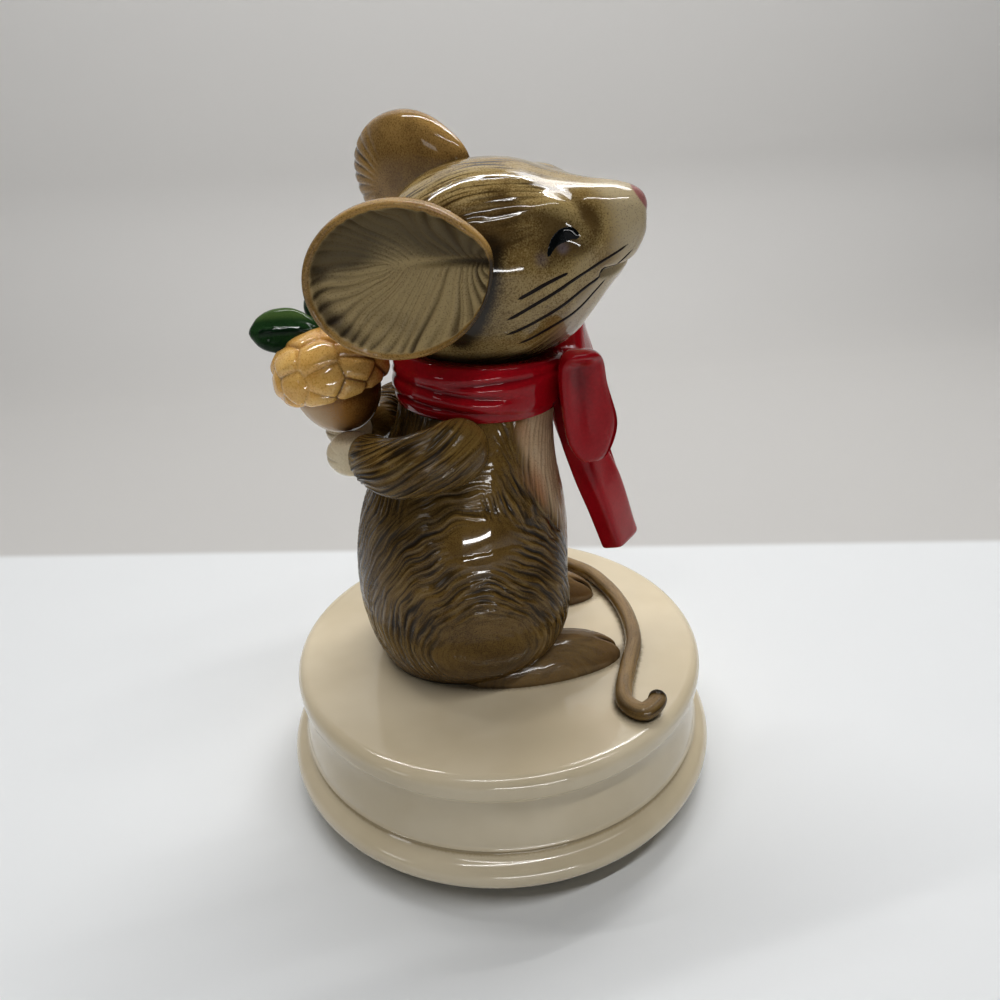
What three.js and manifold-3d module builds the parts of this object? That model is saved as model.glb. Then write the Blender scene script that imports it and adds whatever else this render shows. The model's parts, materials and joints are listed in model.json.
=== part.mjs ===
// A glazed ceramic mouse on a round drum that holds a wind-up musical movement.
// Millimetres, +Z up. The origin is on the turning axis, where the foot pad meets the table.
// The mouse looks along +X, so its right side is at -Y.

import * as THREE from 'three';
import { mergeVertices } from 'three/addons/utils/BufferGeometryUtils.js';
import Module from 'manifold-3d';

const wasm = await Module();
wasm.setup();
const radians = THREE.MathUtils.degToRad;
const degrees = THREE.MathUtils.radToDeg;

// Clearances
const seam = 0.3; // between curved pieces that are luted or fitted together
const seat = 0.1; // between flat faces that rest on each other
const runningGap = 0.5; // between what turns and what stands still

// Turning foot
const padThickness = 1;
const padRadius = 42;
const footThickness = 2.7;
const footRadius = 45;
const footEdge = 0.8; // chamfer round the foot
const arborRadius = 2.5;
const socketDepth = 1.8; // of the arbor in the foot
const bushWall = 1.2;

// Drum and bottom cover
const drumWall = 4.2;
const drumTopWall = 4.6;
const drumBulge = 4.7; // how far the lower roll stands out from the band
const drumRollHeight = 7.6;
const drumGroove = 2; // step between the roll and the band
const drumRim = 1.2; // how far the upper rim stands out from the band
const drumRimHeight = 6.2;
const drumRound = 2.2; // rounding of the rim and of the hollow's upper corner
const ventRadius = 5;
const headroom = 2.1; // over the highest wheel
const sideroom = 2; // round the movement
const coverRecess = 0.8;
const coverThickness = 2;
const bossRadius = 3.6;
const bossSink = 0.8; // of a boss into the wall
const bossAngles = [75, 180, 285];
const drumSides = 36;

// Screws
const screwHeadRadius = 2.1;
const screwHeadHeight = 0.5;
const screwRadius = 1.1;
const screwGrip = 1.6; // length of thread beyond the clamped piece

// Movement: plates and spring
const bedThickness = 2;
const bedBack = 13.5; // from the winding arbor to the plate's rear edge
const bedSide = 21;
const housingWall = 0.8;
const housingHeight = 6;
const springThickness = 0.35;
const springTurns = 5;
const springSteps = 12; // in one turn
const bridgeThickness = 1.5;
const bridgeWidth = 9;
const pillarRadius = 2.2;
const bracketThickness = 1.2;
const bracketWidth = 7;
const bracketEdge = 1.3; // of a bracket round its bearing

// Movement: gears
const toothShare = 0.42; // of half a pitch that a tooth fills at the pitch line
const toothTaper = 0.35; // how much more it fills at its root, and less at its tip
const crownThickness = 1.3;
const crownTeeth = 26;
const crownPitchRadius = 10.6;
const crownToothHeight = 1.5;
const crownToothWidth = 0.75;
const crownFace = 1.4;
const pinionTeeth = 12;
const pinionAddendum = 0.55;
const pinionDedendum = 0.75;
const meshDepth = 0.9;
const wheelTeeth = 24;
const wheelModule = 0.55;
const wheelAddendum = 0.4;
const wheelDedendum = 0.7;
const wheelThickness = 1.2;
const secondPinionTeeth = 8;
const secondDrop = 2.5; // of the second wheel's axis under the cylinder's
const studRadius = 0.8;
const wormWheelTeeth = 18;
const wormWheelModule = 0.5;
const wormWheelThickness = 1.3;
const wormRadius = 1.5; // at the pitch line
const wormDepth = 0.6;
const wormThread = 0.4;
const wormLength = 5;
const wormSteps = 10; // in one turn of the thread
const fanReach = 3.2;
const fanHeight = 2;
const fanThickness = 0.5;
const pivotRadius = 0.6;
const pivotDepth = 1.2;

// Movement: cylinder and comb
const cylinderRadius = 6.2;
const cylinderLength = 16;
const cylinderShaftRadius = 1.2;
const cylinderPinHeight = 0.5;
const cylinderPinWidth = 0.4;
const notesPerTooth = 2;
const noteStep = 67; // degrees from one tooth's note to the next one's
const combTeeth = 18;
const combGap = 0.3;
const combToothLength = 7;
const combBack = 6.5;
const combThickness = 0.9;

// Body of the mouse, measured from the middle of the drum's top
const bodySet = -7.3; // of the body's middle behind the turning axis
const bodyDepth = 46.5;
const bodyWidth = 49;
const bodyHeight = 66;
const bodyWall = 4;
const bodySides = 20;
const neckLean = 5.6; // of the neck in front of the body's middle
const throatRadius = 6;
const haunchLength = 35;
const haunchHeight = 35;
const haunchWidth = 23.5;
const haunchInset = 11.5; // of the thigh's middle from the body's side
const haunchSet = 4.5; // of the thigh's middle in front of the body's
const footLength = 36;
const footWidth = 12.6;
const footHeight = 8.5;
const footToe = 26.4; // how far the toes reach in front of the axis
const footInset = 10.3; // of the foot's middle line from the body's side
const footSplay = 6;
const tailRadius = 1.8;

// Head and ears
const headLength = 52;
const headRise = 18.8;
const headDrop = 19.5;
const headWidth = 37;
const headSides = 18;
const headLift = 18; // of the head's middle over the top of the neck
const headSet = 0.6; // of the head's middle in front of the neck's
const headYaw = -13;
const headPitch = 18.5;
const headRoll = 20;
const earLength = 31.5;
const earHeight = 25.8;
const earDepth = 11;
const earRim = 1.7;
const earDish = 2.8;
// Places of the ears' middles from the head's middle, and their turns in degrees
const rightEarPose = { back: 9.9, out: 18.5, lift: 11.5, rake: 7, tilt: 15.3, turn: -3.3 };
const leftEarPose = { back: 8.6, out: 19.9, lift: 12.5, rake: -7.8, tilt: -7.4, turn: 38.6 };

// Scarf and bow
const scarfRadius = 15.4;
const scarfHeight = 10.5;
const scarfThickness = 3.6;
const scarfDrop = 2.5; // of its middle under the top of the neck
const scarfTilt = 5;
const knotLength = 7;
const knotWidth = 8;
const knotHeight = 9.5;
const loopReach = 14;
const loopHeight = 24.5;
const loopThickness = 11.5;
const loopDroop = 3.6;
const loopForward = 1.6; // how far a loop swings in front of the knot
const leftLoopLift = 1.5;
const ribbonLength = 35;
const ribbonWidth = 12;
const ribbonThickness = 2.8;
const ribbonFlare = 10.5; // how far the ribbon's end stands in front of the knot
const ribbonAcross = [1, 0.7, 0]; // the way its width lies

// Arms, acorn and leaves
const armRadius = 6.6;
const armDrop = 12; // of the shoulder under the top of the neck
const armSet = 3.5; // of the shoulder behind the neck's middle
const armLength = 24;
const armSpread = 19.3;
const armOut = 1.1; // how far the arm swings out and down on its way
const pawRadius = 4.8;
const pawSpread = 7.2;
const pawSet = 1.8; // of the paw in front of the acorn's axis
const acornRadius = 8.9;
const acornHeight = 21.2;
const acornBack = 24.2; // of the acorn's axis behind the body's middle
const acornOverPaws = 1.6; // of the nut's tip over the paws' middles
const capRadius = 10.7;
const capHeight = 12.4;
const nutSink = 4; // of the nut into its cap
const leafLength = 14.5;
const leafWidth = 8;
const leafThickness = 3;
const leafDrop = 2; // of its root under the top of the cap
const outerLeafWay = [-1, 0.1, 0.05];
const outerLeafAcross = [0, 0.5, 0.87];
const innerLeafWay = [0.3, 0.9, 0.3];
const innerLeafAcross = [1, -0.3, 0];

// Heights from the table up
const footBottom = padThickness + seat;
const footTop = footBottom + footThickness;
const drumBottom = footTop + runningGap;
const coverBottom = drumBottom + coverRecess;
const coverTop = coverBottom + coverThickness;
const bedBottom = coverTop + seat;
const bedTop = bedBottom + bedThickness;
const crownBottom = bedTop + runningGap;
const crownTop = crownBottom + crownThickness;
const crownTip = crownTop + crownToothHeight;

// Sizes that follow from the gears
const pinionPitchRadius = (crownPitchRadius * pinionTeeth) / crownTeeth;
const pinionTipRadius = pinionPitchRadius + pinionAddendum;
const cylinderAxis = crownTip - meshDepth + pinionTipRadius;
const wheelPitchRadius = (wheelTeeth * wheelModule) / 2;
const secondPinionRadius = (secondPinionTeeth * wheelModule) / 2;
const wormWheelRadius = (wormWheelTeeth * wormWheelModule) / 2;
const wormLead = Math.PI * wormWheelModule;
const crownInner = crownPitchRadius - crownFace / 2;
const crownOuter = crownPitchRadius + crownFace / 2;
const housingRadius = crownInner - runningGap;

// Places along the cylinder's shaft, from the winding arbor outwards
const innerBracketX = crownOuter + runningGap;
const cylinderX = innerBracketX + bracketThickness + runningGap;
const wheelX = cylinderX + cylinderLength + runningGap;
const wormWheelX = wheelX + wheelThickness + runningGap;
const outerBracketX = wormWheelX + wormWheelThickness + runningGap;
const shaftEndX = outerBracketX + bracketThickness;
const cylinderReach = cylinderRadius + cylinderPinHeight;

// Places of the second wheel and the governor
const secondDistance = wheelPitchRadius + secondPinionRadius;
const secondY = -Math.sqrt(secondDistance ** 2 - secondDrop ** 2);
const secondZ = cylinderAxis - secondDrop;
const governorX = wormWheelX + wormWheelThickness / 2;
const governorY = secondY - wormWheelRadius - wormRadius;
const wormWheelTip = wormWheelRadius + wormDepth / 2;
const bracketTop = cylinderAxis + cylinderShaftRadius + bracketEdge;
const fanBottom = Math.max(secondZ + wormWheelTip, bracketTop) + runningGap;
const fanTop = fanBottom + fanHeight;
const governorBracketBottom = fanTop + runningGap;
const governorBracketTop = governorBracketBottom + bracketThickness;
const governorReach = Math.hypot(governorX, governorY) + fanReach;

// Places of the spring housing and its bridge
const housingBottom = crownTip + runningGap;
const housingTop = housingBottom + housingHeight;
const bridgeBottom = housingTop + seat;
const bridgeTop = bridgeBottom + bridgeThickness;
const pillarY = crownOuter + pillarRadius + runningGap;

// Comb beside the cylinder
const combTipY = cylinderReach + runningGap;
const combRootY = combTipY + combToothLength;
const combEndY = combRootY + combBack;
const combBottom = cylinderAxis - combThickness / 2;
const combTop = cylinderAxis + combThickness / 2;
const combScrewY = combRootY + combBack / 2;
const combScrewPlaces = [0.2, 0.8].map((share) => cylinderX + share * cylinderLength);

// Drum, sized to hold the movement
const outerBracketReach = Math.hypot(shaftEndX, bracketWidth / 2 - secondY);
const combReach = Math.hypot(cylinderX + cylinderLength, combEndY);
const bedReach = Math.max(outerBracketReach, combReach, governorReach) + runningGap;
const cavityRadius = bedReach + sideroom;
const movementTop = Math.max(
  cylinderAxis + wheelPitchRadius + wheelAddendum,
  cylinderAxis + cylinderReach,
  governorBracketTop,
  bridgeTop + screwHeadHeight,
);
const cavityTop = movementTop + headroom;
const drumTop = cavityTop + drumTopWall;
const drumRadius = cavityRadius + drumWall;
const coverRadius = cavityRadius - seam;
const bossRing = cavityRadius - bossRadius + bossSink;
const bossPlaces = bossAngles.map((angle) => [
  bossRing * Math.cos(radians(angle)),
  bossRing * Math.sin(radians(angle)),
]);
const movementScrewY = bedSide - 2 * screwHeadRadius;
const movementScrewPlaces = [
  [-bedBack + 2 * screwHeadRadius, 0],
  [cylinderX - screwHeadRadius, movementScrewY],
  [cylinderX - screwHeadRadius, -movementScrewY],
];

// Places on the mouse
const neckX = bodySet + neckLean;
const bowX = neckX + scarfRadius + scarfThickness / 2 + knotLength / 4;
const bowZ = bodyHeight - scarfDrop - scarfRadius * Math.sin(radians(scarfTilt));
const footSpread = bodyWidth / 2 - footInset;
const shoulderZ = bodyHeight - armDrop;
const pawZ = shoulderZ - 2 * armOut;
const acornX = bodySet - acornBack;
const acornLift = pawZ + acornOverPaws;

// Finishes
const finishes = {
  cream: { color: 0xd8cdb0, roughness: 0.16, metalness: 0 },
  fur: { color: 0x7a5a34, roughness: 0.2, metalness: 0 },
  paleFur: { color: 0xc9b48c, roughness: 0.2, metalness: 0 },
  acornShell: { color: 0x9a6b34, roughness: 0.18, metalness: 0 },
  capShell: { color: 0x8a6a2c, roughness: 0.2, metalness: 0 },
  leafGreen: { color: 0x1f3d1c, roughness: 0.15, metalness: 0 },
  scarfRed: { color: 0x9c1420, roughness: 0.14, metalness: 0 },
  darkPlastic: { color: 0x2b2722, roughness: 0.5, metalness: 0 },
  rubber: { color: 0x1c1b1a, roughness: 0.9, metalness: 0 },
  fibre: { color: 0x4a3a2a, roughness: 0.8, metalness: 0 },
  zinc: { color: 0x9a9a96, roughness: 0.45, metalness: 1 },
  steel: { color: 0xa9adb0, roughness: 0.3, metalness: 1 },
  brass: { color: 0xb98d3c, roughness: 0.3, metalness: 1 },
  nylon: { color: 0xe4e0d4, roughness: 0.45, metalness: 0 },
};

// Turns a closed geometry into a solid that can be joined and cut.
function solid(geometry) {
  const bare = geometry.clone();
  bare.deleteAttribute('normal');
  bare.deleteAttribute('uv');
  const merged = mergeVertices(bare, 1e-4);
  const points = merged.attributes.position;
  const corners = merged.index.array;
  const triangles = [];
  let volume = 0;
  const [a, b, c] = [new THREE.Vector3(), new THREE.Vector3(), new THREE.Vector3()];
  for (let i = 0; i < corners.length; i += 3) {
    const [p, q, r] = corners.slice(i, i + 3);
    if (p === q || q === r || r === p) continue;
    triangles.push(p, q, r);
    a.fromBufferAttribute(points, p);
    b.fromBufferAttribute(points, q);
    c.fromBufferAttribute(points, r);
    volume += a.dot(b.cross(c));
  }
  if (volume < 0) triangles.reverse();
  return new wasm.Manifold(
    new wasm.Mesh({
      numProp: 3,
      vertProperties: new Float32Array(points.array),
      triVerts: new Uint32Array(triangles),
    }),
  );
}

// Gives a solid's largest body back as a geometry.
function geometryOf(body) {
  const [largest] = body.decompose().sort((one, two) => two.volume() - one.volume());
  const { vertProperties, triVerts } = largest.getMesh();
  const geometry = new THREE.BufferGeometry();
  geometry.setAttribute('position', new THREE.BufferAttribute(vertProperties, 3));
  geometry.setIndex(new THREE.BufferAttribute(triVerts, 1));
  geometry.computeVertexNormals();
  return geometry;
}

function cutBy(body, ...others) {
  return others.reduce((left, other) => left.subtract(other), body);
}

function joined(...bodies) {
  return bodies.reduce((left, other) => left.add(other));
}

// A named mesh of a solid or a geometry, in one of the finishes.
function piece(name, shape, finish) {
  const geometry = shape.isBufferGeometry ? shape : geometryOf(shape);
  const mesh = new THREE.Mesh(geometry, new THREE.MeshStandardMaterial(finishes[finish]));
  mesh.name = name;
  return mesh;
}

// A body of revolution about Z; the outline lists radius and height.
function turned(outline, sides = 32) {
  const points = outline.map(([radius, height]) => new THREE.Vector2(radius, height));
  return solid(new THREE.LatheGeometry(points, sides).rotateX(Math.PI / 2));
}

function rod(radius, bottom, top, sides = 14) {
  return turned([[0, bottom], [radius, bottom], [radius, top], [0, top]], sides);
}

function ring(inner, outer, bottom, top, sides = 24) {
  return turned([[inner, bottom], [outer, bottom], [outer, top], [inner, top], [inner, bottom]], sides);
}

function block(low, high) {
  const size = high.map((value, axis) => value - low[axis]);
  const middle = high.map((value, axis) => (value + low[axis]) / 2);
  return solid(new THREE.BoxGeometry(...size).translate(...middle));
}

// Lays a solid made about Z along the X axis, at a height and an offset.
function alongX(body, y, z) {
  return body.rotate([0, 90, 0]).translate([0, y, z]);
}

// A flat outline raised to a thickness, lying on z = 0.
function plate(outline, thickness, holes = []) {
  const shape = new THREE.Shape(outline.map(([x, y]) => new THREE.Vector2(x, y)));
  for (const [x, y, radius] of holes) {
    shape.holes.push(new THREE.Path().absarc(x, y, radius, 0, 2 * Math.PI, true));
  }
  return solid(
    new THREE.ExtrudeGeometry(shape, { depth: thickness, bevelEnabled: false, curveSegments: 5 }),
  );
}

// A smooth body given by its half widths along three axes.
function ellipsoid(halves, grow = 0, sides = 16) {
  const [x, y, z] = halves.map((half) => half + grow);
  return solid(new THREE.SphereGeometry(1, sides, Math.round(sides * 0.6)).scale(x, y, z));
}

// A closed skin over rings of points, drawn to one point at each end.
function skin(rings, first, last) {
  const sides = rings[0].length;
  const points = [first, ...rings.flat(), last];
  const triangles = [];
  const at = (row, side) => 1 + row * sides + (side % sides);
  for (let side = 0; side < sides; side += 1) {
    triangles.push(0, at(0, side + 1), at(0, side));
    for (let row = 0; row + 1 < rings.length; row += 1) {
      triangles.push(at(row, side), at(row, side + 1), at(row + 1, side + 1));
      triangles.push(at(row, side), at(row + 1, side + 1), at(row + 1, side));
    }
    triangles.push(at(rings.length - 1, side), at(rings.length - 1, side + 1), points.length - 1);
  }
  const geometry = new THREE.BufferGeometry().setFromPoints(points);
  geometry.setIndex(triangles);
  return solid(geometry);
}

// A limb along a smooth path, with a half width and a half thickness at each point of the path.
function limb(path, halves, { grow = 0, sides = 10, steps = 10, across = null } = {}) {
  const curve = new THREE.CatmullRomCurve3(path.map((point) => new THREE.Vector3(...point)));
  const sizes = new THREE.CatmullRomCurve3(
    halves.map(([width, thickness]) => new THREE.Vector3(width + grow, thickness + grow, 0)),
  );
  const frames = curve.computeFrenetFrames(steps);
  const ringAt = (step) => {
    const share = step / steps;
    const middle = curve.getPoint(share);
    const size = sizes.getPoint(share);
    const along = curve.getTangent(share);
    const wide = across
      ? new THREE.Vector3(...across).projectOnPlane(along).normalize()
      : frames.normals[step].clone();
    const thick = new THREE.Vector3().crossVectors(along, wide);
    return Array.from({ length: sides }, (_, side) => {
      const angle = (2 * Math.PI * side) / sides;
      return middle
        .clone()
        .addScaledVector(wide, size.x * Math.cos(angle))
        .addScaledVector(thick, size.y * Math.sin(angle));
    });
  };
  const rings = Array.from({ length: steps + 1 }, (_, step) => ringAt(step));
  const endCap = (share, sign) => {
    const size = sizes.getPoint(share);
    const reach = Math.min(size.x, size.y) * 0.6 * sign;
    return curve.getPoint(share).addScaledVector(curve.getTangent(share), reach);
  };
  return skin(rings, endCap(0, -1), endCap(1, 1));
}

// A toothed wheel lying on z = 0, with straight-sided teeth and a round bore.
function toothedWheel({ teeth, pitchRadius, addendum, dedendum, share, thickness, bore }) {
  const root = pitchRadius - dedendum;
  const tip = pitchRadius + addendum;
  const half = (Math.PI / teeth) * share;
  const outline = [];
  for (let tooth = 0; tooth < teeth; tooth += 1) {
    const middle = (2 * Math.PI * tooth) / teeth;
    const [wide, narrow] = [1 + toothTaper, 1 - toothTaper];
    const corners = [[root, -wide], [tip, -narrow], [tip, narrow], [root, wide]];
    for (const [radius, side] of corners) {
      const angle = middle + side * half;
      outline.push([radius * Math.cos(angle), radius * Math.sin(angle)]);
    }
  }
  return plate(outline, thickness, [[0, 0, bore]]);
}

// A slotless pan-head screw pointing along +Z from the underside of its head.
function screwShape(length) {
  const outline = [
    [0, -screwHeadHeight],
    [screwHeadRadius, -screwHeadHeight],
    [screwHeadRadius, 0],
    [screwRadius, 0],
    [screwRadius, length],
    [0, length],
  ];
  return turned(outline, 10);
}

function screwHole(length) {
  return rod(screwRadius + seam, -seat, length + seam, 8);
}

// Turning foot and the parts fixed to the winding arbor

function footPad() {
  return rod(padRadius, 0, padThickness, drumSides);
}

function turnFoot() {
  const outline = [
    [0, footBottom],
    [footRadius - footEdge, footBottom],
    [footRadius, footBottom + footEdge],
    [footRadius, footTop - footEdge],
    [footRadius - footEdge, footTop],
    [0, footTop],
  ];
  const socket = rod(arborRadius + seam, footTop - socketDepth, footTop + seat);
  return turned(outline, drumSides).subtract(socket);
}

function windingArbor() {
  return rod(arborRadius, footTop - socketDepth + seat, bridgeTop);
}

function crownWheel() {
  const tooth = block(
    [crownInner, -crownToothWidth / 2, crownTop - seam],
    [crownOuter, crownToothWidth / 2, crownTip],
  );
  let wheel = rod(crownOuter, crownBottom, crownTop, crownTeeth);
  for (let index = 0; index < crownTeeth; index += 1) {
    wheel = wheel.add(tooth.rotate([0, 0, ((index + 0.5) * 360) / crownTeeth]));
  }
  return wheel.subtract(rod(arborRadius + seam, crownBottom - seat, crownTip));
}

// Drum and its bottom cover

function drumShell() {
  const rollMiddle = drumBottom + drumRollHeight / 2;
  const rimMiddle = drumTop - drumRimHeight / 2;
  const roll = [-0.95, -0.6, 0, 0.5, 0.8].map((share) => [
    drumRadius + drumBulge * Math.sqrt(1 - share * share),
    rollMiddle + (share * drumRollHeight) / 2,
  ]);
  const rim = [-1, -0.5, 0.1, 0.6, 1].map((share) => [
    drumRadius + drumRim * (1 - share ** 2) - drumRound * Math.max(share, 0) ** 3,
    rimMiddle + (share * drumRimHeight) / 2,
  ]);
  const outline = [
    [cavityRadius, drumBottom],
    ...roll,
    [drumRadius + drumGroove, drumBottom + drumRollHeight],
    [drumRadius, drumBottom + drumRollHeight + drumGroove],
    ...rim,
    [ventRadius, drumTop],
    [ventRadius, cavityTop],
    [cavityRadius - drumRound, cavityTop],
    [cavityRadius, cavityTop - drumRound],
    [cavityRadius, drumBottom],
  ];
  let shell = turned(outline, drumSides);
  for (const [x, y] of bossPlaces) {
    const boss = rod(bossRadius, coverTop + seat, cavityTop + seam, 16).translate([x, y, 0]);
    const hole = screwHole(coverThickness + screwGrip).translate([x, y, coverBottom]);
    shell = shell.add(boss).subtract(hole);
  }
  return shell;
}

function bottomCover() {
  const bushHole = arborRadius + seam + bushWall + seam;
  let cover = ring(bushHole, coverRadius, coverBottom, coverTop, drumSides);
  for (const [x, y] of [...bossPlaces, ...movementScrewPlaces]) {
    cover = cover.subtract(screwHole(coverThickness).translate([x, y, coverBottom]));
  }
  return cover;
}

function arborBush() {
  const inner = arborRadius + seam;
  return ring(inner, inner + bushWall, coverBottom, coverTop, 24);
}

// Bedplate with its comb ledge and the two pillars of the barrel bridge

function bedplate() {
  const slab = block([-bedBack, -bedSide, bedBottom], [bedReach, bedSide, bedTop]);
  let bed = slab.intersect(rod(bedReach, bedBottom - seat, bedTop + seat, drumSides));
  const ledge = block(
    [cylinderX, combRootY, bedTop - seam],
    [cylinderX + cylinderLength, combEndY, combBottom - seat],
  );
  bed = bed.add(ledge);
  for (const y of [-pillarY, pillarY]) {
    bed = bed.add(rod(pillarRadius, bedTop - seam, bridgeBottom - seat, 16).translate([0, y, 0]));
    bed = bed.subtract(screwHole(screwGrip).rotate([180, 0, 0]).translate([0, y, bridgeBottom]));
  }
  for (const x of combScrewPlaces) {
    const hole = screwHole(screwGrip).rotate([180, 0, 0]);
    bed = bed.subtract(hole.translate([x, combScrewY, combBottom]));
  }
  for (const [x, y] of movementScrewPlaces) {
    bed = bed.subtract(screwHole(screwGrip).translate([x, y, bedBottom]));
  }
  const arborHole = rod(arborRadius + runningGap, bedBottom - seat, bedTop + seat);
  const pivotHole = rod(pivotRadius + seam, bedTop - pivotDepth, bedTop + seat, 12);
  return cutBy(bed, arborHole, pivotHole.translate([governorX, governorY, 0]));
}

function barrelBridge() {
  const reach = pillarY + pillarRadius;
  let bridge = block([-bridgeWidth / 2, -reach, bridgeBottom], [bridgeWidth / 2, reach, bridgeTop]);
  const hole = (radius) => rod(radius, bridgeBottom - seat, bridgeTop + seat, 12);
  for (const y of [-pillarY, pillarY]) {
    bridge = bridge.subtract(hole(screwRadius + seam).translate([0, y, 0]));
  }
  return bridge.subtract(hole(arborRadius + runningGap));
}

function springHousing() {
  const bore = arborRadius + runningGap;
  const inner = housingRadius - housingWall;
  const underTop = housingTop - housingWall;
  const outline = [
    [bore, housingTop],
    [bore, underTop],
    [inner, underTop],
    [inner, housingBottom],
    [housingRadius, housingBottom],
    [housingRadius, housingTop],
    [bore, housingTop],
  ];
  return turned(outline, 24);
}

// A flat steel ribbon wound in a spiral between the arbor and the housing.
function mainspring() {
  const inner = arborRadius + seam;
  const outer = housingRadius - housingWall - seam - springThickness;
  const pitch = (outer - inner) / springTurns;
  const steps = springTurns * springSteps;
  const edge = (offset) =>
    Array.from({ length: steps + 1 }, (_, step) => {
      const angle = (2 * Math.PI * step) / springSteps;
      const radius = inner + offset + (pitch * step) / springSteps;
      return [radius * Math.cos(angle), radius * Math.sin(angle)];
    });
  const insideEdge = edge(0);
  const outsideEdge = edge(springThickness);
  let leastGap = Infinity;
  for (let step = 0; step + springSteps <= steps; step += 1) {
    const [x, y] = outsideEdge[step];
    const [nextX, nextY] = insideEdge[step + springSteps];
    leastGap = Math.min(leastGap, Math.hypot(nextX - x, nextY - y));
  }
  console.log(`mainspring: least gap between turns ${leastGap.toFixed(2)} mm`);
  const height = housingHeight - housingWall - 2 * seam;
  return plate([...insideEdge, ...outsideEdge.reverse()], height).translate([0, 0, housingBottom + seam]);
}

// Pinned cylinder, its shaft and gears, all turning about an axis along X

function cylinder() {
  const length = cylinderLength;
  let drum = ring(cylinderShaftRadius + seam, cylinderRadius, 0, length, 28);
  const track = length / combTeeth;
  const pin = block(
    [cylinderRadius - cylinderPinHeight, -cylinderPinWidth / 2, -cylinderPinWidth / 2],
    [cylinderReach, cylinderPinWidth / 2, cylinderPinWidth / 2],
  );
  for (let tooth = 0; tooth < combTeeth; tooth += 1) {
    for (let note = 0; note < notesPerTooth; note += 1) {
      const angle = (tooth * noteStep + (note * 360) / notesPerTooth) % 360;
      drum = drum.add(pin.rotate([0, 0, angle]).translate([0, 0, (tooth + 0.5) * track]));
    }
  }
  return alongX(drum, 0, cylinderAxis).translate([cylinderX, 0, 0]);
}

function cylinderShaft() {
  const shaft = rod(cylinderShaftRadius, 0, shaftEndX - crownInner);
  return alongX(shaft, 0, cylinderAxis).translate([crownInner, 0, 0]);
}

function cylinderPinion() {
  const pinion = toothedWheel({
    teeth: pinionTeeth,
    pitchRadius: pinionPitchRadius,
    addendum: pinionAddendum,
    dedendum: pinionDedendum,
    share: toothShare,
    thickness: crownFace,
    bore: cylinderShaftRadius + seam,
  });
  return alongX(pinion, 0, cylinderAxis).translate([crownInner, 0, 0]);
}

function cylinderWheel() {
  const wheel = toothedWheel({
    teeth: wheelTeeth,
    pitchRadius: wheelPitchRadius,
    addendum: wheelAddendum,
    dedendum: wheelDedendum,
    share: toothShare,
    thickness: wheelThickness,
    bore: cylinderShaftRadius + seam,
  });
  const half = 180 / wheelTeeth;
  const meshAngle = degrees(Math.atan2(secondY, secondDrop));
  return alongX(wheel.rotate([0, 0, meshAngle + half]), 0, cylinderAxis).translate([wheelX, 0, 0]);
}

function bracket(x, lowY, highY, holes) {
  let wall = block([x, lowY, bedTop + seat], [x + bracketThickness, highY, bracketTop]);
  for (const [y, z, radius] of holes) {
    const hole = rod(radius + seam, -seat, bracketThickness + seat, 16);
    wall = wall.subtract(alongX(hole, y, z).translate([x, 0, 0]));
  }
  return wall;
}

function innerBracket() {
  const bearing = [0, cylinderAxis, cylinderShaftRadius];
  return bracket(innerBracketX, -bracketWidth / 2, bracketWidth / 2, [bearing]);
}

function outerBracket() {
  return bracket(outerBracketX, secondY - studRadius - bracketEdge, bracketWidth / 2, [
    [0, cylinderAxis, cylinderShaftRadius],
    [secondY, secondZ, studRadius],
  ]);
}

function comb() {
  const pitch = cylinderLength / combTeeth;
  const combLeft = cylinderX + combGap / 2;
  const combRight = cylinderX + cylinderLength - combGap / 2;
  const outline = [[combRight, combEndY], [combLeft, combEndY]];
  for (let tooth = 0; tooth < combTeeth; tooth += 1) {
    const left = cylinderX + tooth * pitch + combGap / 2;
    const right = cylinderX + (tooth + 1) * pitch - combGap / 2;
    outline.push([left, combRootY], [left, combTipY], [right, combTipY], [right, combRootY]);
  }
  const holes = combScrewPlaces.map((x) => [x, combScrewY, screwRadius + seam]);
  return plate(outline, combThickness, holes).translate([0, 0, combBottom]);
}

// Second wheel, stud and air-brake governor

function secondWheel() {
  const bore = studRadius + seam;
  const small = toothedWheel({
    teeth: secondPinionTeeth,
    pitchRadius: secondPinionRadius,
    addendum: wheelAddendum,
    dedendum: wheelDedendum,
    share: toothShare,
    thickness: wormWheelX - wheelX + seam,
    bore,
  });
  const large = toothedWheel({
    teeth: wormWheelTeeth,
    pitchRadius: wormWheelRadius,
    addendum: wormDepth / 2,
    dedendum: wormDepth,
    share: toothShare,
    thickness: wormWheelThickness,
    bore,
  });
  const meshAngle = degrees(Math.atan2(-secondY, -secondDrop));
  const wormSide = -90;
  const gears = joined(
    small.rotate([0, 0, meshAngle]),
    large.rotate([0, 0, wormSide]).translate([0, 0, wormWheelX - wheelX]),
  );
  return alongX(gears, secondY, secondZ).translate([wheelX, 0, 0]);
}

function secondStud() {
  const stud = rod(studRadius, 0, shaftEndX - wheelX, 14);
  return alongX(stud, secondY, secondZ).translate([wheelX, 0, 0]);
}

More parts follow.
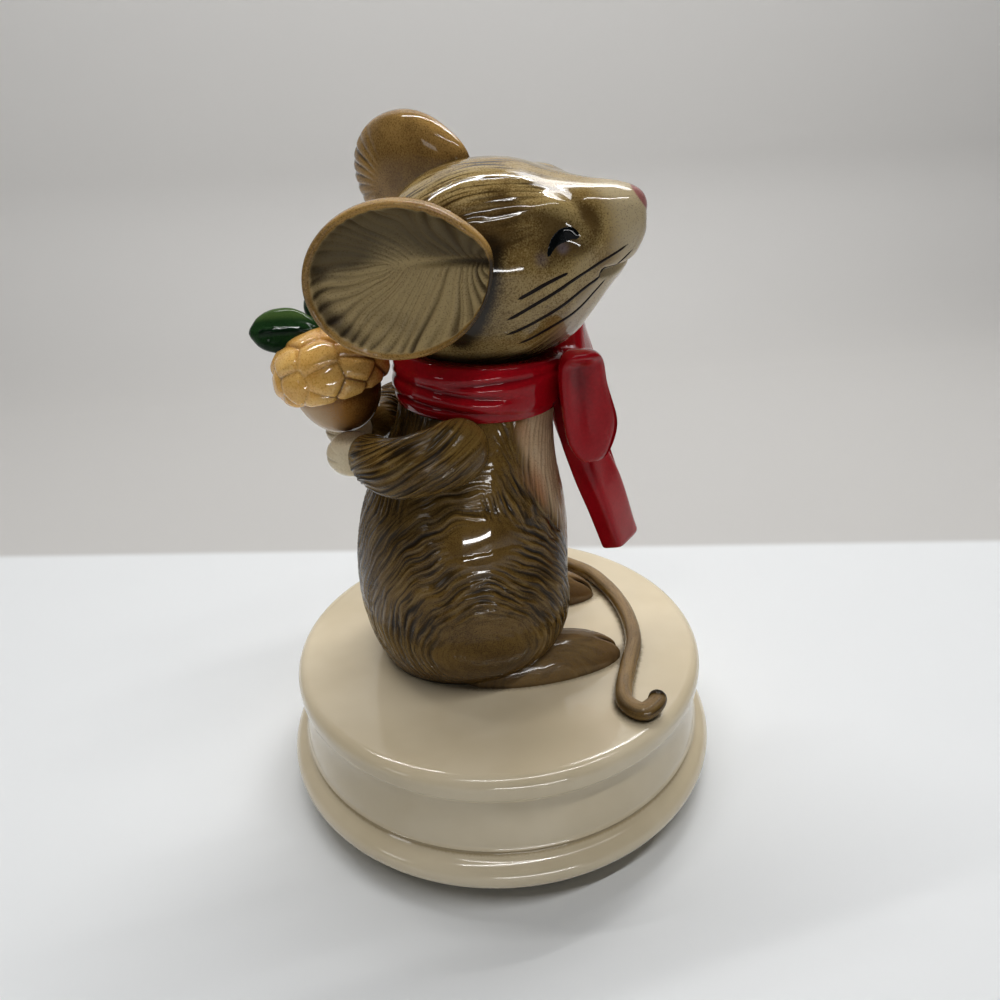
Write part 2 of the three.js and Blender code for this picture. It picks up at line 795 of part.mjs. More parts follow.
// A single-start worm on a pivot shaft; its thread is a strip wound up a helix.
function governorWorm() {
  const core = wormRadius - wormDepth / 2;
  const tip = wormRadius + wormDepth / 2;
  const turns = wormLength / wormLead;
  const steps = Math.round(turns * wormSteps);
  const rings = Array.from({ length: steps + 1 }, (_, step) => {
    const turn = (step / steps - 0.5) * turns;
    const angle = 2 * Math.PI * turn + Math.PI / 2;
    const height = (turn + 0.5) * wormLead;
    const at = (radius, offset) =>
      new THREE.Vector3(radius * Math.cos(angle), radius * Math.sin(angle), height + offset);
    const half = wormThread / 2;
    return [at(core - seam, -half), at(tip, -half), at(tip, half), at(core - seam, half)];
  });
  const middle = (points) => {
    const sum = points.reduce((total, point) => total.add(point), new THREE.Vector3());
    return sum.divideScalar(points.length);
  };
  const thread = skin(rings, middle(rings[0]), middle(rings[steps]));
  const length = wormLength + wormLead;
  const body = rod(core, -length / 2, length / 2, 16);
  const pivot = rod(pivotRadius, bedTop - pivotDepth + seat - secondZ, governorBracketTop - secondZ, 12);
  return joined(body, thread, pivot).translate([governorX, governorY, secondZ]);
}

function governorFan() {
  const hub = rod(pivotRadius + seam + fanThickness, fanBottom, fanTop, 12);
  const vane = block([-fanReach, -fanThickness / 2, fanBottom], [fanReach, fanThickness / 2, fanTop]);
  const fan = hub.add(vane).subtract(rod(pivotRadius + seam, fanBottom - seat, fanTop + seat, 12));
  return fan.translate([governorX, governorY, 0]);
}

// A post beside the fan with an arm over it for the upper pivot.
function governorBracket() {
  const half = bracketWidth / 4;
  const postX = governorX - fanReach - runningGap;
  const post = block(
    [postX - bracketThickness, governorY - half, bedTop + seat],
    [postX, governorY + half, governorBracketTop],
  );
  const arm = block(
    [postX - seam, governorY - half, governorBracketBottom],
    [governorX + half, governorY + half, governorBracketTop],
  );
  const hole = rod(pivotRadius + seam, governorBracketBottom - seat, governorBracketTop + seat, 12);
  return post.add(arm).subtract(hole.translate([governorX, governorY, 0]));
}

// Mouse. Every shape can be grown by a seam, to cut its neighbours clear of it.
// These shapes are measured from the middle of the drum's top.

function mirrored(body) {
  return body.scale([1, -1, 1]);
}

const underside = block([-bodyDepth, -bodyWidth, -bodyHeight], [bodyDepth, bodyWidth, seat]);

// Shares of the body's height, half depth, half width and lean, from the floor to the neck.
const bodyProfile = [
  [0, 0.83, 0.775, 0],
  [0.06, 0.9, 0.88, 0],
  [0.17, 0.965, 0.967, 0],
  [0.36, 1, 1, 0.04],
  [0.55, 0.905, 0.9, 0.14],
  [0.7, 0.8, 0.795, 0.45],
  [0.82, 0.72, 0.705, 0.8],
  [0.93, 0.66, 0.61, 1],
  [1, 0.54, 0.51, 1],
];

function trunk(grow = 0) {
  const last = bodyProfile.length - 1;
  const rings = bodyProfile.map(([up, deep, wide, lean], row) => {
    const stretch = row === 0 ? -grow : row === last ? grow : 0;
    return Array.from({ length: bodySides }, (_, side) => {
      const angle = (2 * Math.PI * side) / bodySides;
      return new THREE.Vector3(
        bodySet + neckLean * lean + ((deep * bodyDepth) / 2 + grow) * Math.cos(angle),
        ((wide * bodyWidth) / 2 + grow) * Math.sin(angle),
        seat + bodyHeight * up + stretch,
      );
    });
  });
  const floor = new THREE.Vector3(bodySet, 0, rings[0][0].z);
  const crown = new THREE.Vector3(neckX, 0, rings[last][0].z);
  return skin(rings, floor, crown);
}

function haunch(grow = 0) {
  const thigh = ellipsoid([haunchLength / 2, haunchWidth / 2, haunchHeight / 2], grow);
  return thigh.translate([bodySet + haunchSet, haunchInset - bodyWidth / 2, haunchHeight / 2]);
}

function torsoShape(grow = 0) {
  return joined(trunk(grow), haunch(grow), mirrored(haunch(grow)));
}

function torso() {
  const vent = rod(ventRadius, -seat, 2 * bodyWall + seat);
  const throat = rod(throatRadius, bodyHeight - 3 * bodyWall, bodyHeight + bodyWall).translate([neckX, 0, 0]);
  return cutBy(torsoShape(), underside, trunk(-bodyWall), vent, throat);
}

// Shares of the head's length, rise, drop and half width, from the nape to the nose.
const headProfile = [
  [0.05, 0.53, 0.53, 0.54],
  [0.18, 0.88, 0.87, 0.89],
  [0.365, 1, 1, 1],
  [0.52, 0.93, 1, 0.97],
  [0.635, 0.79, 0.92, 0.84],
  [0.75, 0.56, 0.69, 0.6],
  [0.865, 0.38, 0.42, 0.38],
  [0.942, 0.27, 0.28, 0.26],
  [0.987, 0.14, 0.14, 0.14],
];
const headMiddle = 0.365;

// Carries a shape from the head's own axes to its place over the neck.
const headTurn = new THREE.Matrix4()
  .makeTranslation(neckX + headSet, 0, bodyHeight + headLift)
  .multiply(new THREE.Matrix4().makeRotationZ(radians(headYaw)))
  .multiply(new THREE.Matrix4().makeRotationY(radians(-headPitch)))
  .multiply(new THREE.Matrix4().makeRotationX(radians(headRoll)));

function onHead(body) {
  return body.transform(headTurn.elements);
}

function skull(grow = 0) {
  const rings = headProfile.map(([along, rise, drop, wide]) =>
    Array.from({ length: headSides }, (_, side) => {
      const angle = (2 * Math.PI * side) / headSides;
      const tall = Math.sin(angle) > 0 ? rise * headRise : drop * headDrop;
      return new THREE.Vector3(
        (along - headMiddle) * headLength,
        ((wide * headWidth) / 2 + grow) * Math.cos(angle),
        (tall + grow) * Math.sin(angle),
      );
    }),
  );
  const nape = new THREE.Vector3(-headMiddle * headLength - grow, 0, 0);
  const nose = new THREE.Vector3((1 - headMiddle) * headLength + grow, 0, 0);
  return onHead(skin(rings, nape, nose));
}

function head() {
  const hollow = skull(-bodyWall);
  const throat = rod(throatRadius, bodyHeight - bodyWall, bodyHeight + headLift).translate([neckX, 0, 0]);
  return cutBy(skull(), torsoShape(seam), hollow, throat);
}

// A right ear in the head's own axes, at a pose of its own.
function earShape({ back, out, lift, rake, tilt, turn }, grow = 0) {
  const lens = ellipsoid([earLength / 2, earDepth / 2, earHeight / 2], grow);
  const dish = ellipsoid([earLength / 2 - earRim, earDepth / 2, earHeight / 2 - earRim]);
  const leaf = grow > 0 ? lens : lens.subtract(dish.translate([0, -earDish, 0]));
  const posed = leaf.rotate([0, rake, 0]).rotate([-tilt, 0, turn]);
  return posed.translate([-back, -out, lift]);
}

function rightEar(grow = 0) {
  return onHead(earShape(rightEarPose, grow));
}

function leftEar(grow = 0) {
  return onHead(mirrored(earShape(leftEarPose, grow)));
}

function ears() {
  const room = [skull(seam), scarfShape(seam), torsoShape(seam)];
  return [
    piece('right_ear', cutBy(rightEar(), ...room), 'fur'),
    piece('left_ear', cutBy(leftEar(), ...room), 'fur'),
  ];
}

// Scarf

function scarfShape(grow = 0) {
  const outer = scarfRadius + scarfThickness / 2 + grow;
  const inner = scarfRadius - scarfThickness - grow;
  const half = scarfHeight / 2 + grow;
  const outline = [
    [inner, -half],
    [outer - scarfThickness / 2, -half],
    [outer, -half * 0.4],
    [outer, half * 0.4],
    [outer - scarfThickness / 2, half],
    [inner, half],
    [inner, -half],
  ];
  return turned(outline, 24).rotate([0, scarfTilt, 0]).translate([neckX, 0, bodyHeight - scarfDrop]);
}

function scarfBand() {
  return cutBy(scarfShape(), torsoShape(seam), skull(seam));
}

function knotShape(grow = 0) {
  const knot = ellipsoid([knotLength / 2, knotWidth / 2, knotHeight / 2], grow, 14);
  return knot.translate([bowX, 0, bowZ]);
}

function loopShape(grow = 0) {
  const rootY = -knotWidth / 4;
  const path = [
    [bowX, rootY, bowZ],
    [bowX + loopForward / 2, rootY - loopReach * 0.3, bowZ - loopDroop / 2],
    [bowX + loopForward, rootY - loopReach * 0.7, bowZ - loopDroop],
    [bowX + loopForward, rootY - loopReach, bowZ - loopDroop],
  ];
  const halves = [
    [knotHeight * 0.3, knotLength * 0.4],
    [loopHeight * 0.36, loopThickness * 0.42],
    [loopHeight * 0.5, loopThickness * 0.5],
    [loopHeight * 0.36, loopThickness * 0.32],
  ];
  return limb(path, halves, { grow, across: [0, 0, 1], steps: 7, sides: 12 });
}

function leftLoop(grow = 0) {
  return mirrored(loopShape(grow)).translate([0, 0, leftLoopLift]);
}

function ribbonShape(grow = 0) {
  const y = -ribbonWidth / 2;
  const path = [
    [bowX, y * 0.6, bowZ - knotHeight / 3],
    [bowX + ribbonFlare * 0.3, y, bowZ - ribbonLength * 0.45],
    [bowX + ribbonFlare * 0.65, y, bowZ - ribbonLength * 0.75],
    [bowX + ribbonFlare, y, bowZ - ribbonLength],
  ];
  const halves = [0.3, 0.44, 0.48, 0.5].map((share) => [ribbonWidth * share, ribbonThickness / 2]);
  return limb(path, halves, { grow, across: ribbonAcross, steps: 6, sides: 8 });
}

function bow() {
  const neighbours = [scarfShape(seam), torsoShape(seam), skull(seam)];
  const knot = cutBy(knotShape(), ...neighbours);
  const loopRoom = [...neighbours, knotShape(seam)];
  const rightLoop = cutBy(loopShape(), ...loopRoom);
  const farLoop = cutBy(leftLoop(), ...loopRoom);
  const ribbonRoom = [...loopRoom, loopShape(seam), leftLoop(seam)];
  const rightRibbon = cutBy(ribbonShape(), ...ribbonRoom);
  const leftRibbon = cutBy(mirrored(ribbonShape()), ...ribbonRoom, ribbonShape(seam));
  return [
    piece('bow_knot', knot, 'scarfRed'),
    piece('right_bow_loop', rightLoop, 'scarfRed'),
    piece('left_bow_loop', farLoop, 'scarfRed'),
    piece('right_bow_tail', rightRibbon, 'scarfRed'),
    piece('left_bow_tail', leftRibbon, 'scarfRed'),
  ];
}

// Arms, paws and acorn

function armShape(grow = 0) {
  const path = [
    [neckX - armSet, armOut - armSpread, shoulderZ],
    [neckX - armSet - armLength * 0.35, -armSpread, shoulderZ - armOut],
    [neckX - armSet - armLength * 0.7, armOut - armSpread, pawZ],
    [acornX + pawRadius, -pawSpread - pawRadius * 0.7, pawZ],
  ];
  const halves = [0.85, 1, 0.96, 0.8].map((share) => [armRadius * share, armRadius * share]);
  return limb(path, halves, { grow });
}

function pawShape(grow = 0) {
  const paw = ellipsoid([pawRadius, pawRadius * 0.9, pawRadius], grow, 14);
  return paw.translate([acornX + pawSet, -pawSpread, pawZ]);
}

function nutShape(grow = 0) {
  const top = acornHeight - capHeight + nutSink;
  const outline = [[0, -grow]];
  for (const share of [0.1, 0.3, 0.6, 1]) {
    const radius = acornRadius * Math.sin((share * Math.PI) / 2) + grow;
    outline.push([radius, top * share ** 2 - grow * (1 - share)]);
  }
  outline.push([acornRadius + grow, top + grow], [0, top + grow]);
  return turned(outline, 20).translate([acornX, 0, acornLift]);
}

function capShape(grow = 0) {
  const bottom = acornLift + acornHeight - capHeight;
  const outline = [[0, bottom - grow], [capRadius * 0.93 + grow, bottom - grow]];
  for (const share of [0.1, 0.3, 0.5, 0.7, 0.85]) {
    outline.push([capRadius * Math.sqrt(1 - share ** 2.4) + grow, bottom + capHeight * share]);
  }
  outline.push([0, bottom + capHeight + grow]);
  return turned(outline, 20).translate([acornX, 0, 0]);
}

function leafShape(way, across, grow = 0) {
  const root = new THREE.Vector3(acornX, 0, acornLift + acornHeight - leafDrop);
  const tip = root.clone().addScaledVector(new THREE.Vector3(...way).normalize(), leafLength);
  const middle = root.clone().lerp(tip, 0.5);
  middle.z += leafThickness / 2;
  const path = [root, middle, tip].map((point) => point.toArray());
  const halves = [0.25, 0.5, 0.2].map((share) => [leafWidth * share, leafThickness / 2]);
  return limb(path, halves, { grow, across, steps: 7, sides: 8 });
}

function armsAndAcorn() {
  const body = [torsoShape(seam), scarfShape(seam), skull(seam)];
  const arm = cutBy(armShape(), ...body);
  const farArm = cutBy(mirrored(armShape()), ...body);
  const nutRoom = nutShape(seam);
  const paw = cutBy(pawShape(), torsoShape(seam), armShape(seam), nutRoom, capShape(seam));
  const nut = cutBy(nutShape(), ...body);
  const cap = cutBy(capShape(), nutRoom, ...body);
  const leafRoom = [capShape(seam), ...body, rightEar(seam), leftEar(seam)];
  const outerLeafRoom = leafShape(outerLeafWay, outerLeafAcross, seam);
  const outerLeaf = cutBy(leafShape(outerLeafWay, outerLeafAcross), ...leafRoom);
  const innerLeaf = cutBy(leafShape(innerLeafWay, innerLeafAcross), ...leafRoom, outerLeafRoom);
  return [
    piece('right_arm', arm, 'fur'),
    piece('left_arm', farArm, 'fur'),
    piece('right_paw', paw, 'paleFur'),
    piece('left_paw', mirrored(paw), 'paleFur'),
    piece('acorn_nut', nut, 'acornShell'),
    piece('acorn_cap', cap, 'capShell'),
    piece('outer_leaf', outerLeaf, 'leafGreen'),
    piece('inner_leaf', innerLeaf, 'leafGreen'),
  ];
}

// Feet and tail, lying on the drum

function footShape(grow = 0) {
  const foot = ellipsoid([footLength / 2, footWidth / 2, footHeight], grow);
  return foot.rotate([0, 0, footSplay]).translate([footToe - footLength / 2, -footSpread, seat]);
}

// The tail's way round the drum: degrees, share of the drum's radius, height of its middle.
const tailRoute = [
  [160, 0.63, 1],
  [129, 0.7, 1],
  [100, 0.75, 1],
  [71, 0.78, 1],
  [43, 0.745, 1],
  [24, 0.715, 1],
  [2, 0.695, 1],
  [-19, 0.715, 1],
  [-37, 0.735, 1],
  [-48, 0.77, 1],
  [-54, 0.84, 1],
  [-54, 0.93, 1.1],
  [-50, 0.955, 1.6],
  [-47, 0.93, 2.2],
];

function tailShape(grow = 0) {
  const path = tailRoute.map(([angle, share, lift]) => [
    drumRadius * share * Math.cos(radians(angle)),
    drumRadius * share * Math.sin(radians(angle)),
    seat + tailRadius * 0.8 * lift,
  ]);
  const halves = tailRoute.map(() => [tailRadius, tailRadius]);
  return limb(path, halves, { grow, across: [0, 0, 1], steps: 36, sides: 7 });
}

function feetAndTail() {
  const body = torsoShape(seam);
  const foot = cutBy(footShape(), underside, body);
  const tail = cutBy(tailShape(), underside, body, footShape(seam), mirrored(footShape(seam)));
  return [
    piece('right_foot', foot, 'fur'),
    piece('left_foot', mirrored(foot), 'fur'),
    piece('tail', tail, 'fur'),
  ];
}

// Assembly

function screw(name, length, [x, y, z], upright = true) {
  const mesh = piece(name, screwShape(length), 'steel');
  if (!upright) mesh.rotation.x = Math.PI;
  mesh.position.set(x, y, z);
  return mesh;
}

function screws() {
  const meshes = [];
  bossPlaces.forEach(([x, y], index) => {
    const place = [x, y, coverBottom - seat];
    meshes.push(screw(`cover_screw_${index + 1}`, coverThickness + screwGrip, place));
  });
  movementScrewPlaces.forEach(([x, y], index) => {
    const place = [x, y, coverBottom - seat];
    meshes.push(screw(`movement_screw_${index + 1}`, coverThickness + screwGrip, place));
  });
  combScrewPlaces.forEach((x, index) => {
    const place = [x, combScrewY, combTop + seat];
    meshes.push(screw(`comb_screw_${index + 1}`, combThickness + screwGrip, place, false));
  });
  [-pillarY, pillarY].forEach((y, index) => {
    const place = [0, y, bridgeTop + seat];
    meshes.push(screw(`bridge_screw_${index + 1}`, bridgeThickness + screwGrip, place, false));
  });
  return meshes;
}

function movement() {
  const group = new THREE.Group();
  group.add(
    piece('bedplate', bedplate(), 'zinc'),
    piece('winding_arbor', windingArbor(), 'steel'),
    piece('crown_wheel', crownWheel(), 'brass'),
    piece('spring_housing', springHousing(), 'steel'),
    piece('mainspring', mainspring(), 'steel'),
    piece('barrel_bridge', barrelBridge(), 'zinc'),
    piece('cylinder', cylinder(), 'brass'),
    piece('cylinder_shaft', cylinderShaft(), 'steel'),
    piece('cylinder_pinion', cylinderPinion(), 'brass'),
    piece('cylinder_wheel', cylinderWheel(), 'nylon'),
    piece('inner_bracket', innerBracket(), 'zinc'),
    piece('outer_bracket', outerBracket(), 'zinc'),
    piece('comb', comb(), 'steel'),
    piece('second_wheel', secondWheel(), 'nylon'),
    piece('second_stud', secondStud(), 'steel'),
    piece('governor_worm', governorWorm(), 'steel'),
    piece('governor_fan', governorFan(), 'brass'),
    piece('governor_bracket', governorBracket(), 'zinc'),
  );
  return group;
}

function drum() {
  const group = new THREE.Group();
  group.add(
    piece('base_shell', drumShell(), 'cream'),
    piece('bottom_cover', bottomCover(), 'fibre'),
    piece('arbor_bush', arborBush(), 'brass'),
    piece('turn_foot', turnFoot(), 'darkPlastic'),
    piece('foot_pad', footPad(), 'rubber'),
  );
  return group;
}

function mouse() {
  const group = new THREE.Group();
  group.position.z = drumTop;
  group.add(
    piece('torso', torso(), 'fur'),
    piece('head', head(), 'fur'),
    piece('scarf_band', scarfBand(), 'scarfRed'),
    ...ears(),
    ...bow(),
    ...armsAndAcorn(),
    ...feetAndTail(),
  );
  return group;
}

const musicBox = new THREE.Group();
musicBox.add(drum(), movement(), ...screws(), mouse());

export default musicBox;
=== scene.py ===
# Looks of a glazed ceramic mouse on a round drum that holds a musical movement.
# Shapes are worked out in millimetres and become metres when a piece is finished.
import json
import math
import bmesh
import bpy
import numpy as np
from mathutils import Matrix, Vector
from mathutils.bvhtree import BVHTree


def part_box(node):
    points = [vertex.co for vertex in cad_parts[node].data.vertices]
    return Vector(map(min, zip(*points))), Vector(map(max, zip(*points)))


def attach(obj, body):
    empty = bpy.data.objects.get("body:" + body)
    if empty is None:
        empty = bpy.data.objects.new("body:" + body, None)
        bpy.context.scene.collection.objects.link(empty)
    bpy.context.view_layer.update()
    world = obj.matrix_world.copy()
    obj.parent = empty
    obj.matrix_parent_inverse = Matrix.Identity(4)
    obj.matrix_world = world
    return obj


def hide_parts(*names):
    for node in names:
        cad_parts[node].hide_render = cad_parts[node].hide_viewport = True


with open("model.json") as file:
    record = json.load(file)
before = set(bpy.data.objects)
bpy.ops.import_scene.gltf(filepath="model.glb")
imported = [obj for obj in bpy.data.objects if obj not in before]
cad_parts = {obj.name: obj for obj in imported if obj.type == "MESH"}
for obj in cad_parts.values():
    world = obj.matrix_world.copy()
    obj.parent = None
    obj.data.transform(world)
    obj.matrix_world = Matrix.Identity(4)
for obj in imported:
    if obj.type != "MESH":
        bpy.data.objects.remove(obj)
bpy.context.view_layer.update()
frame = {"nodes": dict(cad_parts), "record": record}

mm = 0.001
pi = math.pi
print("frame loaded:", len(frame["nodes"]), "nodes")


# measures taken from the frame, in millimetres
def boxOf(node):
    low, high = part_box(node)
    return np.array(low) / mm, np.array(high) / mm


deck = boxOf("base_shell")[1][2]
bodyHeight = boxOf("torso")[1][2] - deck
sides = (("right", -1), ("left", 1))


# small helpers for places on a mesh
def ease(value, low, high):  # 0 at low, 1 at high, smooth between
    share = np.clip((value - low) / (high - low), 0, 1)
    return share * share * (3 - 2 * share)


def hill(value, middle, width):  # 1 at the middle, falling off softly
    return np.exp(-(((value - middle) / width) ** 2))


def smoothMax(first, second, blend):
    return (first + second + np.sqrt((first - second) ** 2 + blend * blend)) / 2


def squarish(wave, power):  # a sine or cosine drawn out towards a square's corners
    return np.sign(wave) * np.abs(wave) ** power


def poleShare(height):  # 0 at one pole of a ball, 1 at the other
    return np.arccos(np.clip(height, -1, 1)) / pi


def aroundAxis(radius, angle, height):
    return np.column_stack([radius * np.cos(angle), radius * np.sin(angle), height])


def turned(degrees, axis):
    return Matrix.Rotation(math.radians(degrees), 4, axis)


def overDeck(x, y, z=0):  # a place measured from the drum's top
    return Matrix.Translation((x, y, deck + z))


def through(rows, at):  # smooth curve through rows of place and values
    rows = np.asarray(rows, float)
    places, values = rows[:, 0], rows[:, 1:]
    slopes = np.gradient(values, places, axis=0)
    index = np.clip(np.searchsorted(places, at, side="right") - 1, 0, len(places) - 2)
    span = (places[index + 1] - places[index])[:, None]
    share = np.clip((at[:, None] - places[index][:, None]) / span, 0, 1)
    bend = share * share * (3 - 2 * share)
    lead = share * (1 - share) ** 2 * slopes[index] - share * share * (1 - share) * slopes[index + 1]
    return values[index] * (1 - bend) + values[index + 1] * bend + span * lead


def follow(at, run, values):  # columns of values, read at places along a run
    return np.column_stack([np.interp(at, run, column) for column in values.T])


def wander(points, size, seed, waves=8):  # smooth irregular value, about -1 to 1
    draw = np.random.default_rng(seed)
    ways = draw.normal(size=(waves, 3)) * 2 / size
    starts = draw.uniform(0, 2 * pi, waves)
    return np.sin(points @ ways.T + starts).sum(1) / math.sqrt(waves)


def sway(points, rows):  # several wanders added: strength, size and draw of each
    return sum(strength * wander(points, size, seed) for strength, size, seed in rows)


def lot(index, seed):  # a repeatable draw from 0 to 1 for each whole number
    return np.modf(np.abs(np.sin(index * 12.9898 + seed * 78.233) * 43758.5453))[0]


# 1 in the middle of a carved stroke, 0 between strokes
def strokes(across, along, lane, length, seed, width=0.27):
    laneIndex = np.floor(across / lane)
    offset = across / lane - laneIndex - 0.5
    run = along / length + 7 * lot(laneIndex, seed)
    strokeIndex = np.floor(run)
    local = run - strokeIndex
    own = lot(laneIndex * 57 + strokeIndex, seed + 1)
    slant = 0.65 * (lot(laneIndex * 31 + strokeIndex, seed + 2) - 0.5) * (local - 0.5)
    taper = np.sin(pi * local) ** 0.6
    return hill(offset, 0.16 * (own - 0.5) + slant, width) * taper * (0.5 + 0.5 * own)


strokeLook = dict(
    long=13 / 1.4,  # length of a long stroke and of a short one, in lanes
    short=6 / 1.4,
    shortLane=0.75,  # lane, place and depth of the short ones
    shortShift=0.4,
    shortDepth=0.8,
)


def furrows(across, along, lane, seed):  # long strokes with short ones between them
    look = strokeLook
    shifted = across + look["shortShift"] * lane
    long = strokes(across, along, lane, look["long"] * lane, seed)
    short = strokes(shifted, along, look["shortLane"] * lane, look["short"] * lane, seed + 5)
    return np.maximum(long, look["shortDepth"] * short)


def spots(bm):
    return np.array([vert.co[:] for vert in bm.verts])


def settle(bm, places):
    for vert, place in zip(bm.verts, places):
        vert.co = place


def ball(around, along, pole="Z"):  # round starting mesh with its poles on one axis
    turns = {"X": turned(90, "Y"), "Y": turned(-90, "X"), "Z": Matrix.Identity(4)}
    bm = bmesh.new()
    bmesh.ops.create_grid(bm, x_segments=around, y_segments=along, size=1)
    flat = spots(bm)
    turn, drop = pi * (flat[:, 0] + 1), pi * (flat[:, 1] + 1) / 2
    settle(bm, aroundAxis(np.sin(drop), turn, np.cos(drop)))
    bmesh.ops.remove_doubles(bm, verts=bm.verts[:], dist=0.00001)
    putAt(bm, turns[pole])
    faceOut(bm)
    return bm


def outward(bm):
    bm.normal_update()
    return np.array([vert.normal[:] for vert in bm.verts])


def carry(bm, name, values):  # a named value on each vertex, read by the materials
    layer = bm.verts.layers.float.new(name)
    for vert, value in zip(bm.verts, values):
        vert[layer] = value


def mark(bm, name, values):
    carry(bm, name, np.clip(values, 0, 1))


def comb(bm, name, across, along):  # which way the fine hairs lie, in millimetres
    carry(bm, name + "Across", across)
    carry(bm, name + "Along", along)


def carve(bm, depths):  # sinks the surface by these depths
    settle(bm, spots(bm) - outward(bm) * depths[:, None])


def faceOut(bm):
    bmesh.ops.recalc_face_normals(bm, faces=bm.faces[:])


def putAt(bm, matrix):
    bmesh.ops.transform(bm, matrix=matrix, verts=bm.verts[:])


def toSide(bm, side):  # shapes are made for the mouse's right, mirrored for its left
    if side > 0:
        bmesh.ops.scale(bm, vec=(1, -1, 1), verts=bm.verts)
        bmesh.ops.reverse_faces(bm, faces=bm.faces)


def spun(rows, steps, closed=True, cuts=0):  # an outline of reach and height turned round the upright axis
    bm = bmesh.new()
    outline = [bm.verts.new((reach, 0, height)) for reach, height in rows]
    ends = outline[1:] + outline[:1] if closed else outline[1:]
    for first, second in zip(outline, ends):
        bm.edges.new((first, second))
    if cuts:
        bmesh.ops.subdivide_edges(bm, edges=bm.edges[:], cuts=cuts)
    bmesh.ops.spin(
        bm, geom=bm.verts[:] + bm.edges[:], cent=(0, 0, 0), axis=(0, 0, 1), angle=2 * pi, steps=steps,
        use_merge=True)
    bmesh.ops.remove_doubles(bm, verts=bm.verts[:], dist=0.0001)
    faceOut(bm)
    return bm


def addObject(name, data):
    thing = bpy.data.objects.new(name, data)
    bpy.context.scene.collection.objects.link(thing)
    return thing


def smoothMesh(bm, name, material):
    mesh = bpy.data.meshes.new(name)
    bm.to_mesh(mesh)
    bm.free()
    mesh.shade_smooth()
    mesh.materials.append(material)
    return mesh


def finishPiece(bm, name, material, nodes=(), body="figure", sharp=None):
    bmesh.ops.scale(bm, vec=(mm, mm, mm), verts=bm.verts)
    mesh = smoothMesh(bm, name, material)
    if sharp:
        mesh.set_sharp_from_angle(angle=math.radians(sharp))
    piece = addObject(name, mesh)
    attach(piece, body)
    if nodes:
        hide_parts(*nodes)
    return piece


# materials: sums of sockets are written as plain sums
class Value:
    def __init__(self, finish, socket):
        self.finish = finish
        self.socket = socket

    def reckon(self, operation, first, second):
        return self.finish.node("ShaderNodeMath", {"operation": operation}, {0: first, 1: second})

    def __add__(self, other):
        return self.reckon("ADD", self, other)

    def __sub__(self, other):
        return self.reckon("SUBTRACT", self, other)

    def __rsub__(self, other):
        return self.reckon("SUBTRACT", other, self)

    def __mul__(self, other):
        return self.reckon("MULTIPLY", self, other)

    __radd__ = __add__
    __rmul__ = __mul__


def tone(red, green, blue):  # screen colour to the colour that a shader takes
    shares = [value / 255 for value in (red, green, blue)]
    return [s / 12.92 if s <= 0.04045 else ((s + 0.055) / 1.055) ** 2.4 for s in shares] + [1]


class Finish:
    def __init__(self, name):
        self.material = bpy.data.materials.new(name)
        self.material.use_nodes = True
        self.tree = self.material.node_tree
        self.tree.nodes.clear()
        self.place = self.node("ShaderNodeTexCoord", out="Object")

    def node(self, kind, settings=None, sockets=None, out=0):
        node = self.tree.nodes.new(kind)
        for name, value in (settings or {}).items():
            setattr(node, name, value)
        for name, value in (sockets or {}).items():
            if isinstance(value, Value):
                self.tree.links.new(value.socket, node.inputs[name])
            else:
                node.inputs[name].default_value = value
        return Value(self, node.outputs[out]) if node.outputs else None

    def noise(self, size, detail=2, rough=0.5):  # size of a patch in millimetres
        sockets = {"Vector": self.place, "Scale": 1 / (size * mm), "Detail": detail, "Roughness": rough}
        return self.node("ShaderNodeTexNoise", None, sockets)

    def between(self, value, low, high):  # value brought to 0..1 from low..high, eased
        settings = {"interpolation_type": "SMOOTHSTEP"}
        return self.node("ShaderNodeMapRange", settings, {0: value, 1: low, 2: high})

    def mix(self, first, second, share):
        settings = {"data_type": "RGBA", "clamp_factor": True}
        return self.node("ShaderNodeMix", settings, {0: share, 6: first, 7: second}, out=2)

    def painted(self, name):  # a value that the mesh carries
        return self.node("ShaderNodeAttribute", {"attribute_name": name}, out="Fac")

    def hairs(self, name, lane, length):  # fine uneven strokes along the combed way
        across, along = self.painted(name + "Across"), self.painted(name + "Along")
        way = self.node("ShaderNodeCombineXYZ", None, {0: across * (1 / lane), 1: along * (1 / length)})
        sockets = {"Vector": way, "Scale": 1, "Detail": 2, "Roughness": 0.55}
        return self.node("ShaderNodeTexNoise", None, sockets)

    def bump(self, value, rise):  # rise in millimetres
        sockets = {"Height": value, "Strength": 1, "Distance": rise * mm}
        return self.node("ShaderNodeBump", None, sockets)

    def surface(self, sockets):
        shader = self.node("ShaderNodeBsdfPrincipled", None, sockets)
        self.node("ShaderNodeOutputMaterial", None, {"Surface": shader})
        return self.material


glazeLook = dict(
    roughness=0.07,  # of the glaze, before its uneven flow
    unevenness=0.05,
    ripple=4.5,  # size of the waves in the glaze
    rippleRise=0.05,
    dullness=0.3,  # added where the glaze is thin
    hairs=dict(  # where each tone of the fine hairs begins and is full, and its strength
        light=(0.47, 0.34, 0.55),
        dark=(0.51, 0.62, 0.88),
    ),
    speckle=0.4,
    polish=0.9,  # coat added where a piece is polished
    shine=0.09,
    coatRoughness=0.03,
)


